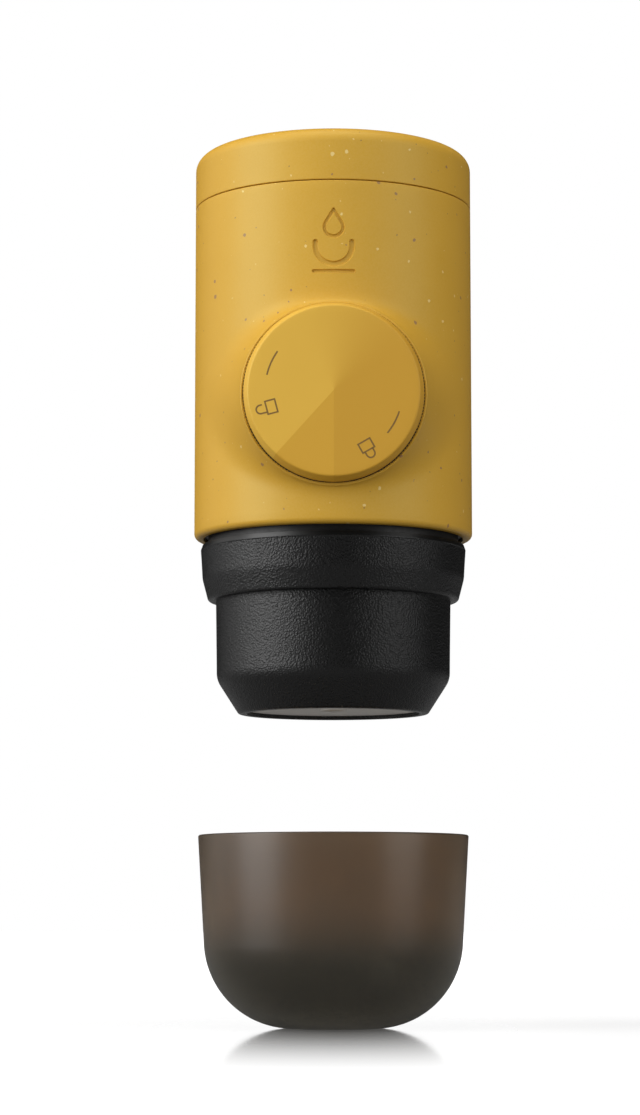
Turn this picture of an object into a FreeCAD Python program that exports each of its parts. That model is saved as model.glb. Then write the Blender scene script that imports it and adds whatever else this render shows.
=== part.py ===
"""Handheld manual espresso maker with its cup, as a parametric FreeCAD document.

+Z is up and the main axis is Z. The origin is the centre of the cup's base. The maker is held over its
cup, and the pump's button faces -Y. Lengths are in millimetres.
"""
import FreeCAD, Part
import math
import os
import Sketcher

V = FreeCAD.Vector

SIZES = {
    # maker's casing
    "body_radius": 30.5,
    "shell_wall": 2.0,
    "shell_height": 73.5,
    "shell_foot_round": 1.2,
    "shell_rim_round": 0.2,
    "shell_ledge": 1.7,
    "shell_ledge_height": 2.0,
    "cap_height": 11.75,
    "cap_wall": 1.8,
    "cap_round": 3.2,
    "seam_gap": 0.18,
    # cup
    "cup_height": 41.5,
    "cup_inset": 1.1,
    "cup_taper": 2.4,
    "cup_bowl_round": 19.0,
    "cup_wall": 1.25,
    "cup_floor": 1.6,
    "cup_lip_round": 0.4,
    "pour_gap": 26.3,
    # outlet head
    "nose_height": 24.7,
    "nose_wall": 3.05,
    "nose_draft": 0.25,
    "nose_chamfer_width": 4.75,
    "nose_chamfer_height": 7.4,
    "nose_chamfer_round": 5.0,
    "nose_tip_round": 0.8,
    "ring_height": 12.1,
    "ring_wall": 3.4,
    "ring_foot_inset": 1.65,
    "ring_foot_round": 0.7,
    "ring_waist_inset": 0.4,
    "ring_waist_height": 4.8,
    "ring_waist_round": 6.0,
    "ring_bevel_width": 0.35,
    "ring_bevel_height": 1.0,
    "ledge_height": 2.8,
    "web_height": 9.0,
    "web_thickness": 4.0,
    "neck_bore": 6.2,
    "neck_wall": 1.5,
    "neck_drop": 4.9,
    "spout_lip": 1.8,
    "spout_seat_depth": 1.6,
    "spout_seat_width": 1.4,
    # spout plate
    "plate_sheet": 0.8,
    "plate_rise": 1.4,
    "spout_radius": 2.9,
    "spout_bore": 1.6,
    "spout_drop": 1.7,
    "spout_lip_round": 0.4,
    "spout_root_width": 0.3,
    "spout_root_round": 0.6,
    "plate_neck_height": 3.1,
    # crema valve
    "seat_bore": 2.0,
    "seat_thickness": 3.4,
    "seat_flange_width": 2.3,
    "seat_flange": 1.0,
    "valve_radius": 4.2,
    "valve_thickness": 1.5,
    "valve_nose": 0.9,
    "stem_radius": 1.1,
    "crema_wire": 0.5,
    "crema_coil_radius": 2.9,
    "crema_turns": 3.5,
    # filter basket
    "basket_flange_width": 2.4,
    "basket_floor_gap": 0.35,
    "basket_sheet": 0.6,
    "basket_round": 2.0,
    "basket_play": 0.4,
    "basket_hole": 0.5,
    # screw threads of the head and the tank, alike
    "thread_depth": 0.95,
    "thread_play": 0.3,
    "thread_lead": 8.0,
    "thread_height": 5.4,
    "thread_root": 1.9,
    "thread_crest": 0.9,
    "thread_lead_in": 0.5,
    "thread_starts": 2,
    "socket_wall": 2.75,
    # group head, screen and gasket
    "head_gap": 1.4,
    "skirt_gap": 0.2,
    "skirt_inset": 3.1,
    "skirt_rise": 0.8,
    "gasket_height": 1.25,
    "gasket_width": 2.8,
    "gasket_round": 0.3,
    "spigot_wall": 3.0,
    "spigot_web": 3.5,
    "screen_sheet": 0.5,
    "screen_depth": 0.6,
    "screen_gap": 0.8,
    "screen_boss": 3.5,
    "screen_hole": 0.5,
    "group_wall": 6.9,
    "outlet_tube": 4.5,
    # pump
    "button_height": 27.4,
    "bore_radius": 7.0,
    "barrel_wall": 2.0,
    "barrel_reach": 1.5,
    "bore_wall": 3.0,
    "chamber_radius": 4.0,
    "chamber_length": 3.5,
    "barrel_end": 2.0,
    "spring_shelf": 1.5,
    "spring_shelf_thickness": 2.5,
    "plate_thickness": 2.8,
    "plate_inset": 2.0,
    "column_radius": 7.5,
    "column_inset": 10.5,
    "post_radius": 3.0,
    "post_inset": 8.5,
    "post_back": 6.0,
    "passage_radius": 2.2,
    "valve_pocket_radius": 4.5,
    "valve_pocket_depth": 5.0,
    "duckbill_flange": 1.5,
    "duckbill_length": 4.5,
    "duckbill_slit": 0.4,
    "duckbill_tip": 1.2,
    "duckbill_tip_wall": 0.5,
    "duckbill_wall": 0.6,
    "screw_inset": 5.1,
    "screw_radius": 1.1,
    "screw_play": 0.3,
    "screw_head_radius": 1.9,
    "screw_head": 1.4,
    "screw_socket_floor": 0.56,
    "screw_length": 6.0,
    "socket_screw_length": 3.0,
    # plunger
    "seal_play": 0.05,
    "piston_play": 0.5,
    "piston_back": 0.2,
    "piston_length": 5.3,
    "seal_groove_depth": 1.5,
    "seal_groove_width": 2.7,
    "seal_side_play": 0.1,
    "seal_round": 0.3,
    "seal_waist": 0.4,
    "rod_radius": 3.2,
    "rod_neck": 2.4,
    "clip_groove": 0.5,
    "clip_sheet": 0.6,
    "clip_radius": 4.6,
    "washer_thickness": 1.05,
    "spring_wire": 1.4,
    "spring_coil_radius": 11.1,
    "spring_turns": 6.0,
    # button, sleeve and bayonet collar
    "boss_rise": 1.0,
    "boss_lip": 0.75,
    "boss_flare": 5.8,
    "boss_depth": 16.0,
    "boss_fillet": 1.2,
    "boss_lip_round": 0.3,
    "button_radius": 19.0,
    "button_gap": 0.25,
    "button_proud": 4.0,
    "button_face_inset": 0.9,
    "button_bevel": 1.2,
    "button_bevel_round": 0.6,
    "button_face": 2.3,
    "sleeve_radius": 16.0,
    "sleeve_wall": 2.4,
    "sleeve_play": 0.2,
    "sleeve_front_wall": 2.5,
    "clip_pocket": 1.2,
    "clip_pocket_radius": 5.2,
    "lug_height": 1.6,
    "lug_width": 6.0,
    "lug_thickness": 2.3,
    "lug_play": 0.3,
    "groove_wall": 1.8,
    "lug_clearance": 1.0,
    "lug_count": 2,
    "stroke": 20.0,
    # water tank
    "tank_gap": 0.5,
    "tank_wall": 1.6,
    "tank_roof": 1.8,
    "tank_round": 3.6,
    "tank_neck_wall": 1.9,
    "tank_neck_gap": 0.6,
    "tank_gasket_height": 1.8,
    "tank_gasket_inset": 0.1,
    "tank_gasket_round": 0.4,
    "socket_floor": 2.5,
    "socket_height": 10.5,
    "strainer_radius": 4.4,
    "strainer_sheet": 0.6,
    "strainer_hole": 0.6,
    "vent_reach": 5.0,
    "vent_radius": 2.0,
    "vent_disc_radius": 4.5,
    "vent_disc": 0.5,
    "vent_foot": 0.8,
    "vent_barb": 0.5,
    # clearances
    "slip": 0.1,
    "body_gap": 0.15,
}

SCREW_ANGLES = (-10.0, 50.0, 130.0, 190.0)
# each ring of holes is a share of the sheet's radius and a count
BASKET_HOLE_RINGS = ((0.23, 8), (0.46, 16), (0.69, 24))
SCREEN_HOLE_RINGS = ((0.38, 12), (0.61, 20), (0.84, 28))
STRAINER_HOLE_RINGS = ((0.64, 8),)
LEAST_CUT = 1e-6
ON_WALL = 1e-3

doc = FreeCAD.newDocument("EspressoMaker")
sheet = doc.addObject("Spreadsheet::Sheet", "Sizes")


class Length:
    """A length that knows its number and the sheet expression it comes from."""

    def __init__(self, number, text):
        self.number = number
        self.text = text

    def __add__(self, other):
        other = as_length(other)
        return Length(self.number + other.number, f"{self.text} + {other.text}")

    def __sub__(self, other):
        other = as_length(other)
        return Length(self.number - other.number, f"{self.text} - ({other.text})")

    def __mul__(self, factor):
        return Length(self.number * factor, f"({self.text}) * {factor}")

    def __neg__(self):
        return Length(-self.number, f"-({self.text})")


def as_length(value):
    return value if isinstance(value, Length) else Length(float(value), repr(float(value)))


def fill_sheet():
    """Write every size to the sheet, and return them as lengths by name."""
    lengths = {}
    for row, (name, number) in enumerate(SIZES.items(), 1):
        sheet.set(f"A{row}", name)
        sheet.set(f"B{row}", str(number))
        sheet.setAlias(f"B{row}", name)
        lengths[name] = Length(float(number), f"Sizes.{name}")
    doc.recompute()
    return lengths


S = fill_sheet()
ZERO = as_length(0)


def bind(thing, prop, length):
    """Set a property to a length, and to its expression where the length comes from the sheet."""
    if "Sizes." in length.text:
        thing.setExpression(prop, length.text)


# ---------------------------------------------------------------- levels of the stack, above the table

HEAD = S["cup_height"] + S["pour_gap"]
SHELL = HEAD + S["nose_height"] + S["ring_height"] + S["head_gap"]

# ---------------------------------------------------------------- radii that several pieces share

SHELL_BORE = S["body_radius"] - S["shell_wall"]
THREAD_BORE = SHELL_BORE - S["slip"] - S["socket_wall"]
THREAD_CORE = THREAD_BORE - S["thread_play"] - S["thread_depth"]
RING_RADIUS = THREAD_BORE + S["ring_wall"]
BASKET_RADIUS = THREAD_CORE - S["basket_flange_width"]
WELL_RADIUS = BASKET_RADIUS + S["basket_play"]
NOSE_RADIUS = WELL_RADIUS + S["nose_wall"]
TANK_RADIUS = SHELL_BORE - S["tank_gap"]
BOSS_BORE = S["button_radius"] + S["button_gap"]
LUG_RADIUS = S["sleeve_radius"] + S["lug_height"]
COLUMN = SHELL_BORE - S["column_inset"]
SCREW_CIRCLE = SHELL_BORE - S["screw_inset"]

# ---------------------------------------------------------------- heights above the head's lower rim

WEB_TOP = S["web_height"] + S["web_thickness"]
LEDGE = S["nose_height"] + S["ledge_height"]
FLANGE = LEDGE + S["body_gap"]
BASKET_DEPTH = FLANGE - S["basket_floor_gap"] - S["seat_flange"] - WEB_TOP
GASKET = FLANGE + S["basket_sheet"] + S["body_gap"]
SPIGOT = HEAD + GASKET + S["gasket_height"] - SHELL

# ---------------------------------------------------------------- heights above the shell's lower rim

DECK = S["button_height"] - LUG_RADIUS - S["lug_clearance"] - S["plate_thickness"]
TOP_PLATE = S["button_height"] + LUG_RADIUS + S["lug_clearance"]
SOCKET = TOP_PLATE + S["plate_thickness"]
TANK_FLOOR = SOCKET + S["socket_floor"]
SOCKET_RIM = SOCKET + S["socket_height"]
TANK_NECK = TANK_FLOOR + S["tank_neck_gap"]
TANK_SHOULDER = SOCKET_RIM + S["tank_gasket_height"] + S["slip"] * 2
CAP_RIM = S["shell_height"] + S["seam_gap"]
CAP_ROOF = CAP_RIM + S["cap_height"] - S["cap_wall"]

# ---------------------------------------------------------------- places along the pump's axis, to the front

BOSS_FACE = S["body_radius"] + S["boss_rise"]
COLLAR_FRONT = BOSS_FACE - S["slip"]
GROOVE_FRONT = COLLAR_FRONT - S["groove_wall"]
BUTTON_BACK = BOSS_FACE + S["seam_gap"]
BUTTON_FACE = BOSS_FACE + S["button_proud"]
SLEEVE_FRONT = BUTTON_FACE - S["button_face"]
LUG_FRONT = GROOVE_FRONT - S["lug_play"] - S["stroke"]
LUG_BACK = LUG_FRONT - S["lug_thickness"]
COLLAR_BACK = LUG_FRONT + S["lug_play"]
PLATE_FRONT = COLLAR_BACK - S["lug_play"] * 2
VENT = PLATE_FRONT + S["vent_reach"]
SLEEVE_WALL_BACK = SLEEVE_FRONT - S["sleeve_front_wall"]
CLIP_FLOOR = SLEEVE_FRONT - S["clip_pocket"]
ROD_SHOULDER = SLEEVE_WALL_BACK - S["body_gap"]
SHELF_FRONT = S["spring_shelf"] + S["spring_shelf_thickness"]
BORE_BACK = COLUMN - S["bore_wall"]
PISTON_BACK = S["piston_back"] - BORE_BACK
PISTON_FRONT = PISTON_BACK + S["piston_length"]
BARREL_FRONT = PISTON_FRONT + S["stroke"] + S["barrel_reach"]


# ---------------------------------------------------------------- ways of making features

def new_body(label, level=ZERO, facing="up", behind=ZERO):
    """A body at a level, behind the main axis by so much. Facing front turns its own Z axis towards -Y."""
    body = doc.addObject("PartDesign::Body", label)
    body.Label = label
    turn = FreeCAD.Rotation(V(1, 0, 0), 90 if facing == "front" else 0)
    body.Placement = FreeCAD.Placement(V(0, behind.number, level.number), turn)
    bind(body, "Placement.Base.y", behind)
    bind(body, "Placement.Base.z", level)
    return body


def new_sketch(body, name, plane, shift):
    """A sketch on one of the body's own planes, moved by (across, up, along its normal)."""
    sketch = body.newObject("Sketcher::SketchObject", name)
    plane = next(feature for feature in body.Origin.OriginFeatures if feature.Role == plane)
    sketch.AttachmentSupport = [(plane, "")]
    sketch.MapMode = "FlatFace"
    shift = [as_length(value) for value in shift]
    sketch.AttachmentOffset = FreeCAD.Placement(
        V(*[value.number for value in shift]), FreeCAD.Rotation()
    )
    for axis, value in zip("xyz", shift):
        bind(sketch, f"AttachmentOffset.Base.{axis}", value)
    return sketch


def pin_point(sketch, geometry, end, corner):
    """Hold a point of the sketch at a corner given as two lengths."""
    for kind, axis, value in zip(("DistanceX", "DistanceY"), (-2, -1), corner):
        if value.text == ZERO.text:
            sketch.addConstraint(Sketcher.Constraint("PointOnObject", geometry, end, axis))
            continue
        index = sketch.addConstraint(
            Sketcher.Constraint(kind, -1, 1, geometry, end, value.number)
        )
        bind(sketch, f"Constraints[{index}]", value)


def rounding(before, corner, after, radius):
    """Where a round of this radius leaves and meets the two lines of a corner, and its centre."""
    to_before = (before - corner).normalize()
    to_after = (after - corner).normalize()
    half = to_before.getAngle(to_after) / 2
    reach = radius / math.tan(half)
    bisector = (to_before + to_after).normalize()
    centre = corner + bisector * (radius / math.sin(half))
    return corner + to_before * reach, corner + to_after * reach, centre


def draw(body, name, corners, plane="XZ_Plane", shift=(0, 0, 0)):
    """A closed outline. A corner is (across, up) or (across, up, radius of its round)."""
    sketch = new_sketch(body, name, plane, shift)
    corners = [[as_length(value) for value in corner] for corner in corners]
    spots = [V(corner[0].number, corner[1].number, 0) for corner in corners]
    count = len(corners)
    starts, ends, arcs = list(spots), list(spots), {}
    for i, corner in enumerate(corners):
        if len(corner) == 3:
            ends[i], starts[i], centre = rounding(
                spots[i - 1], spots[i], spots[(i + 1) % count], corner[2].number
            )
            arcs[i] = centre
    lines = [
        sketch.addGeometry(Part.LineSegment(starts[i], ends[(i + 1) % count]), False)
        for i in range(count)
    ]
    for i, corner in enumerate(corners):
        before, after = lines[i - 1], lines[i]
        if i not in arcs:
            sketch.addConstraint(Sketcher.Constraint("Coincident", before, 2, after, 1))
            pin_point(sketch, after, 1, corner[:2])
            continue
        add_round(sketch, before, after, corner, spots[i], (ends[i], starts[i], arcs[i]))
    return sketch


def add_round(sketch, before, after, corner, spot, round_points):
    """Join two lines by a tangent arc, and hold both to the corner where they would meet."""
    leaves, meets, centre = round_points
    point = sketch.addGeometry(Part.Point(spot), True)
    pin_point(sketch, point, 1, corner[:2])
    for line in (before, after):
        sketch.addConstraint(Sketcher.Constraint("PointOnObject", point, 1, line))
    angles = [math.atan2(end.y - centre.y, end.x - centre.x) for end in (leaves, meets)]
    counterclockwise = (angles[1] - angles[0]) % (2 * math.pi) < math.pi
    if not counterclockwise:
        angles.reverse()
    circle = Part.Circle(centre, V(0, 0, 1), corner[2].number)
    arc = sketch.addGeometry(Part.ArcOfCircle(circle, *angles), False)
    first, last = (1, 2) if counterclockwise else (2, 1)
    sketch.addConstraint(Sketcher.Constraint("Tangent", before, 2, arc, first))
    sketch.addConstraint(Sketcher.Constraint("Tangent", arc, last, after, 1))
    index = sketch.addConstraint(Sketcher.Constraint("Radius", arc, corner[2].number))
    bind(sketch, f"Constraints[{index}]", corner[2])


def cut_down(feature, volume):
    """Recompute, and stop if the feature leaves its body as large as this volume or larger."""
    doc.recompute()
    if feature.Shape.Volume > volume - LEAST_CUT:
        raise RuntimeError(f"{feature.Name} cuts nothing")
    return feature


def revolve(body, name, corners, plane="XZ_Plane", shift=(0, 0, 0), axis="V_Axis", cut=False):
    """Turn an outline round one of its sketch's axes, to add material or to cut it away."""
    sketch = draw(body, name + "Outline", corners, plane, shift)
    volume = body.Shape.Volume if cut else math.inf
    feature = body.newObject("PartDesign::Groove" if cut else "PartDesign::Revolution", name)
    feature.Profile = sketch
    feature.ReferenceAxis = (sketch, [axis])
    feature.Angle = 360
    return cut_down(feature, volume)


def circle_sketch(body, name, centre, radius, level, plane="XY_Plane"):
    sketch = new_sketch(body, name, plane, (0, 0, level))
    radius = as_length(radius)
    centre = [as_length(value) for value in centre]
    spot = V(centre[0].number, centre[1].number, 0)
    sketch.addGeometry(Part.Circle(spot, V(0, 0, 1), radius.number), False)
    pin_point(sketch, 0, 3, centre)
    index = sketch.addConstraint(Sketcher.Constraint("Radius", 0, radius.number))
    bind(sketch, f"Constraints[{index}]", radius)
    return sketch


def extrude(body, name, sketch, length, cut=False):
    """Pad a sketch up its normal, or cut it down from there."""
    volume = body.Shape.Volume if cut else math.inf
    feature = body.newObject("PartDesign::Pocket" if cut else "PartDesign::Pad", name)
    feature.Profile = sketch
    length = as_length(length)
    feature.Length = length.number
    bind(feature, "Length", length)
    return cut_down(feature, volume)


def post(body, name, centre, radius, low, high):
    """A round post between two levels."""
    return extrude(body, name, circle_sketch(body, name + "Circle", centre, radius, low), high - low)


def hole(body, name, centre, radius, top, depth):
    """A round hole from a level down."""
    return extrude(body, name, circle_sketch(body, name + "Circle", centre, radius, top), depth, cut=True)


def repeat(body, feature, sketch, count, name):
    """Repeat a feature evenly round the body's own Z axis."""
    pattern = body.newObject("PartDesign::PolarPattern", name)
    pattern.Originals = [feature]
    pattern.Axis = (sketch, ["N_Axis"])
    pattern.Angle = 360
    count = as_length(count)
    pattern.Occurrences = int(count.number)
    bind(pattern, "Occurrences", count)
    body.Tip = pattern
    doc.recompute()
    return pattern


def hole_rings(body, rings, reach, radius, top, depth):
    """Rings of small holes round the middle of a sheet that reaches so far out."""
    for number, (share, count) in enumerate(rings, 1):
        sketch = circle_sketch(body, f"HoleCircle{number}", (reach * share, 0), radius, top)
        feature = extrude(body, f"Hole{number}", sketch, depth, cut=True)
        repeat(body, feature, sketch, count, f"HoleRing{number}")


def thread(body, wall, crest, low, plane):
    """The ridges of a thread, from inside the wall to the crest radius, up from a level.

    An outer thread starts on the XZ plane and its inner thread a quarter turn on, on the YZ plane, so that
    the ridges of a two-start pair lie midway between each other.
    """
    half_root, half_crest = S["thread_root"] * 0.5, S["thread_crest"] * 0.5
    middle = low + half_root
    outline = (
        (wall, middle - half_root),
        (crest, middle - half_crest),
        (crest, middle + half_crest),
        (wall, middle + half_root),
    )
    sketch = draw(body, "Ridge", outline, plane)
    ridge = body.newObject("PartDesign::AdditiveHelix", "Thread")
    ridge.Profile = sketch
    ridge.ReferenceAxis = (sketch, ["V_Axis"])
    ridge.Mode = "pitch-height-angle"
    ridge.Pitch = S["thread_lead"].number
    ridge.Height = S["thread_height"].number - S["thread_root"].number
    bind(ridge, "Pitch", S["thread_lead"])
    bind(ridge, "Height", S["thread_height"] - S["thread_root"])
    doc.recompute()
    turning = circle_sketch(body, "Turning", (0, 0), wall, low)
    repeat(body, ridge, turning, S["thread_starts"], "ThreadStarts")


def spring(body, wire, coil, turns, low, high):
    """A round wire wound up between two levels."""
    sketch = circle_sketch(body, "Wire", (coil, low + wire * 0.5), wire * 0.5, 0, "XZ_Plane")
    coils = body.newObject("PartDesign::AdditiveHelix", "Coils")
    coils.Profile = sketch
    coils.ReferenceAxis = (sketch, ["V_Axis"])
    coils.Mode = "height-turns-angle"
    coils.Height = (high - low - wire).number
    coils.Turns = turns.number
    bind(coils, "Height", high - low - wire)
    bind(coils, "Turns", turns)
    doc.recompute()


def turned(label, level, corners, facing="up"):
    """A body that is one turned outline."""
    body = new_body(label, level, facing)
    revolve(body, "Turned", corners)
    return body


# ---------------------------------------------------------------- cup

def make_cup():
    rim = S["body_radius"] - S["cup_inset"]
    foot = rim - S["cup_taper"]
    inner_round = S["cup_bowl_round"] - S["cup_wall"]
    turned("cup", ZERO, (
        (0, 0),
        (foot, 0, S["cup_bowl_round"]),
        (rim, S["cup_height"], S["cup_lip_round"]),
        (rim - S["cup_wall"], S["cup_height"], S["cup_lip_round"]),
        (foot - S["cup_wall"], S["cup_floor"], inner_round),
        (0, S["cup_floor"]),
    ))


# ---------------------------------------------------------------- outlet head and what it carries

def make_outlet_head():
    body = new_body("outlet_head", HEAD)
    neck_low = S["web_height"] - S["neck_drop"]
    neck_outer = S["neck_bore"] + S["neck_wall"]
    tip = NOSE_RADIUS - S["nose_chamfer_width"]
    seat = tip - S["spout_lip"]
    cavity = seat - S["spout_seat_width"]
    rim = S["nose_height"] + S["ring_height"]
    waist = RING_RADIUS - S["ring_waist_inset"]
    revolve(body, "Turned", (
        (seat, 0),
        (tip, 0, S["nose_tip_round"]),
        (NOSE_RADIUS, S["nose_chamfer_height"], S["nose_chamfer_round"]),
        (NOSE_RADIUS + S["nose_draft"], S["nose_height"]),
        (RING_RADIUS - S["ring_foot_inset"], S["nose_height"], S["ring_foot_round"]),
        (waist, S["nose_height"] + S["ring_waist_height"], S["ring_waist_round"]),
        (RING_RADIUS, rim - S["ring_bevel_height"]),
        (RING_RADIUS - S["ring_bevel_width"], rim),
        (THREAD_BORE + S["thread_lead_in"], rim),
        (THREAD_BORE, rim - S["thread_lead_in"]),
        (THREAD_BORE, LEDGE),
        (WELL_RADIUS, LEDGE),
        (WELL_RADIUS, WEB_TOP),
        (S["neck_bore"], WEB_TOP),
        (S["neck_bore"], neck_low),
        (neck_outer, neck_low),
        (neck_outer, S["web_height"]),
        (cavity, S["web_height"]),
        (cavity, S["spout_seat_depth"]),
        (seat, S["spout_seat_depth"]),
    ))
    low = SHELL + SPIGOT + S["thread_lead_in"] - HEAD
    thread(body, THREAD_BORE + S["slip"], THREAD_BORE - S["thread_depth"], low, "YZ_Plane")


def make_spout_plate():
    edge = NOSE_RADIUS - S["nose_chamfer_width"] - S["spout_lip"] - S["slip"]
    rim = edge - S["spout_seat_width"] - S["slip"]
    edge_low = S["spout_seat_depth"] - S["plate_sheet"]
    under = edge_low + S["plate_rise"]
    shelf = under + S["plate_sheet"]
    neck = S["neck_bore"] - S["slip"]
    neck_inner = neck - S["plate_sheet"]
    turned("spout_plate", HEAD, (
        (S["spout_bore"], under - S["spout_drop"]),
        (S["spout_radius"], under - S["spout_drop"], S["spout_lip_round"]),
        (S["spout_radius"] + S["spout_root_width"], under, S["spout_root_round"]),
        (rim, edge_low),
        (edge, edge_low),
        (edge, S["spout_seat_depth"]),
        (rim, S["spout_seat_depth"]),
        (neck, shelf),
        (neck, shelf + S["plate_neck_height"]),
        (neck_inner, shelf + S["plate_neck_height"]),
        (neck_inner, shelf),
        (S["spout_bore"], shelf),
    ))


def make_crema_valve():
    seat_low = WEB_TOP - S["seat_thickness"]
    shelf = S["spout_seat_depth"] + S["plate_rise"]
    disc_top = seat_low - S["slip"]
    disc_low = disc_top - S["valve_thickness"]
    turned("valve_seat", HEAD, (
        (S["seat_bore"], seat_low),
        (S["neck_bore"], seat_low),
        (S["neck_bore"], WEB_TOP),
        (S["neck_bore"] + S["seat_flange_width"], WEB_TOP),
        (S["neck_bore"] + S["seat_flange_width"], WEB_TOP + S["seat_flange"]),
        (S["seat_bore"], WEB_TOP + S["seat_flange"]),
    ))
    turned("crema_valve", HEAD, (
        (0, shelf - S["crema_wire"]),
        (S["stem_radius"], shelf - S["crema_wire"]),
        (S["stem_radius"], disc_low),
        (S["valve_radius"], disc_low),
        (S["valve_radius"], disc_top),
        (S["seat_bore"] - S["thread_play"], disc_top),
        (S["stem_radius"], disc_top + S["valve_nose"]),
        (0, disc_top + S["valve_nose"]),
    ))
    body = new_body("crema_spring", HEAD)
    spring(body, S["crema_wire"], S["crema_coil_radius"], S["crema_turns"], shelf, disc_low - S["slip"])


def make_filter_basket():
    body = new_body("filter_basket", HEAD + FLANGE)
    sheet_thickness = S["basket_sheet"]
    inside = BASKET_RADIUS - sheet_thickness
    floor = sheet_thickness - BASKET_DEPTH
    revolve(body, "Turned", (
        (0, -BASKET_DEPTH),
        (BASKET_RADIUS, -BASKET_DEPTH, S["basket_round"]),
        (BASKET_RADIUS, 0),
        (THREAD_CORE, 0),
        (THREAD_CORE, sheet_thickness),
        (inside, sheet_thickness),
        (inside, floor, S["basket_round"] - sheet_thickness),
        (0, floor),
    ))
    hole_rings(body, BASKET_HOLE_RINGS, BASKET_RADIUS, S["basket_hole"], floor, sheet_thickness * 2)


# ---------------------------------------------------------------- group head under the shell

def make_group_head():
    body = new_body("group_head", SHELL)
    spigot_bore = THREAD_CORE - S["spigot_wall"]
    screen_top = SPIGOT + S["screen_depth"] + S["screen_sheet"]
    web_low = screen_top + S["screen_gap"]
    web_top = web_low + S["spigot_web"]
    skirt = S["body_radius"] - S["skirt_inset"]
    skirt_low = S["skirt_gap"] - S["head_gap"]
    flange = SHELL_BORE - S["slip"]
    inside = flange - S["group_wall"]
    revolve(body, "Turned", (
        (0, screen_top),
        (S["screen_boss"], screen_top),
        (S["screen_boss"], web_low),
        (spigot_bore, web_low),
        (spigot_bore, SPIGOT),
        (THREAD_CORE, SPIGOT),
        (THREAD_CORE, skirt_low),
        (skirt, skirt_low),
        (skirt, S["skirt_rise"]),
        (flange, S["skirt_rise"]),
        (flange, DECK),
        (inside, DECK),
        (inside, web_top),
        (0, web_top),
    ))
    low = SPIGOT + S["thread_lead_in"]
    thread(body, THREAD_CORE - S["slip"], THREAD_CORE + S["thread_depth"], low, "XZ_Plane")
    outlet = (ZERO, COLUMN)
    post(body, "OutletTube", outlet, S["outlet_tube"], web_top - S["slip"], DECK)
    hole(body, "OutletBore", outlet, S["passage_radius"], DECK, DECK - web_low + S["slip"])
    for number, angle in enumerate(SCREW_ANGLES, 1):
        hole(body, f"ScrewHole{number}", screw_place(angle), S["screw_radius"], DECK, S["screw_length"])
    hole(body, "ScreenScrewHole", (ZERO, ZERO), S["screw_radius"], web_top, web_top - screen_top + S["slip"])


def make_shower_screen():
    spigot_bore = THREAD_CORE - S["spigot_wall"]
    low = SPIGOT + S["screen_depth"]
    body = new_body("shower_screen", SHELL)
    top = low + S["screen_sheet"]
    disc = spigot_bore - S["slip"]
    post(body, "Disc", (ZERO, ZERO), disc, low, top)
    hole(body, "ScrewHole", (ZERO, ZERO), S["screw_radius"], top, S["screen_sheet"] * 2)
    hole_rings(body, SCREEN_HOLE_RINGS, disc, S["screen_hole"], top, S["screen_sheet"] * 2)


def make_group_gasket():
    inner = THREAD_CORE - S["gasket_width"]
    turned("group_gasket", HEAD + GASKET, (
        (inner, 0, S["gasket_round"]),
        (THREAD_CORE, 0, S["gasket_round"]),
        (THREAD_CORE, S["gasket_height"]),
        (inner, S["gasket_height"]),
    ))


def screw_place(angle):
    """Where a screw stands on the screw circle."""
    return tuple(
        SCREW_CIRCLE * turn
        for turn in (math.cos(math.radians(angle)), math.sin(math.radians(angle)))
    )


def make_screw(name, place, level, shank, head_up=True):
    """A socket-head screw with the underside of its head at a level."""
    sign = 1 if head_up else -1
    head = doc.addObject("Part::Cylinder", name + "Head")
    head.Radius, head.Height = S["screw_head_radius"].number, S["screw_head"].number
    bind(head, "Radius", S["screw_head_radius"])
    bind(head, "Height", S["screw_head"])
    stem = doc.addObject("Part::Cylinder", name + "Shank")
    stem.Radius, stem.Height = S["screw_radius"].number, shank.number
    bind(stem, "Radius", S["screw_radius"])
    bind(stem, "Height", shank)
    socket = doc.addObject("Part::Prism", name + "Socket")
    socket.Polygon = 6
    socket.Circumradius, socket.Height = S["screw_radius"].number, S["screw_head"].number
    bind(socket, "Circumradius", S["screw_radius"])
    bind(socket, "Height", S["screw_head"])
    bottoms = {
        head: level if head_up else level - S["screw_head"],
        stem: level - shank if head_up else level,
        socket: level + S["screw_socket_floor"] * sign - (ZERO if head_up else S["screw_head"]),
    }
    for piece, bottom in bottoms.items():
        piece.Placement = FreeCAD.Placement(
            V(place[0].number, place[1].number, bottom.number), FreeCAD.Rotation()
        )
        for axis, value in zip("xyz", (*place, bottom)):
            bind(piece, f"Placement.Base.{axis}", value)
    joined = doc.addObject("Part::MultiFuse", name + "Blank")
    joined.Shapes = [head, stem]
    screw = doc.addObject("Part::Cut", name)
    screw.Base, screw.Tool = joined, socket
    return screw


def make_screw_set(label, level, shank):
    """One screw at each place of the screw circle, as one group."""
    group = doc.addObject("Part::Compound", label)
    group.Label = label
    group.Links = [
        make_screw(f"{label}_{number}", screw_place(angle), level, shank)
        for number, angle in enumerate(SCREW_ANGLES, 1)
    ]
    return group


# ---------------------------------------------------------------- pump

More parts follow.
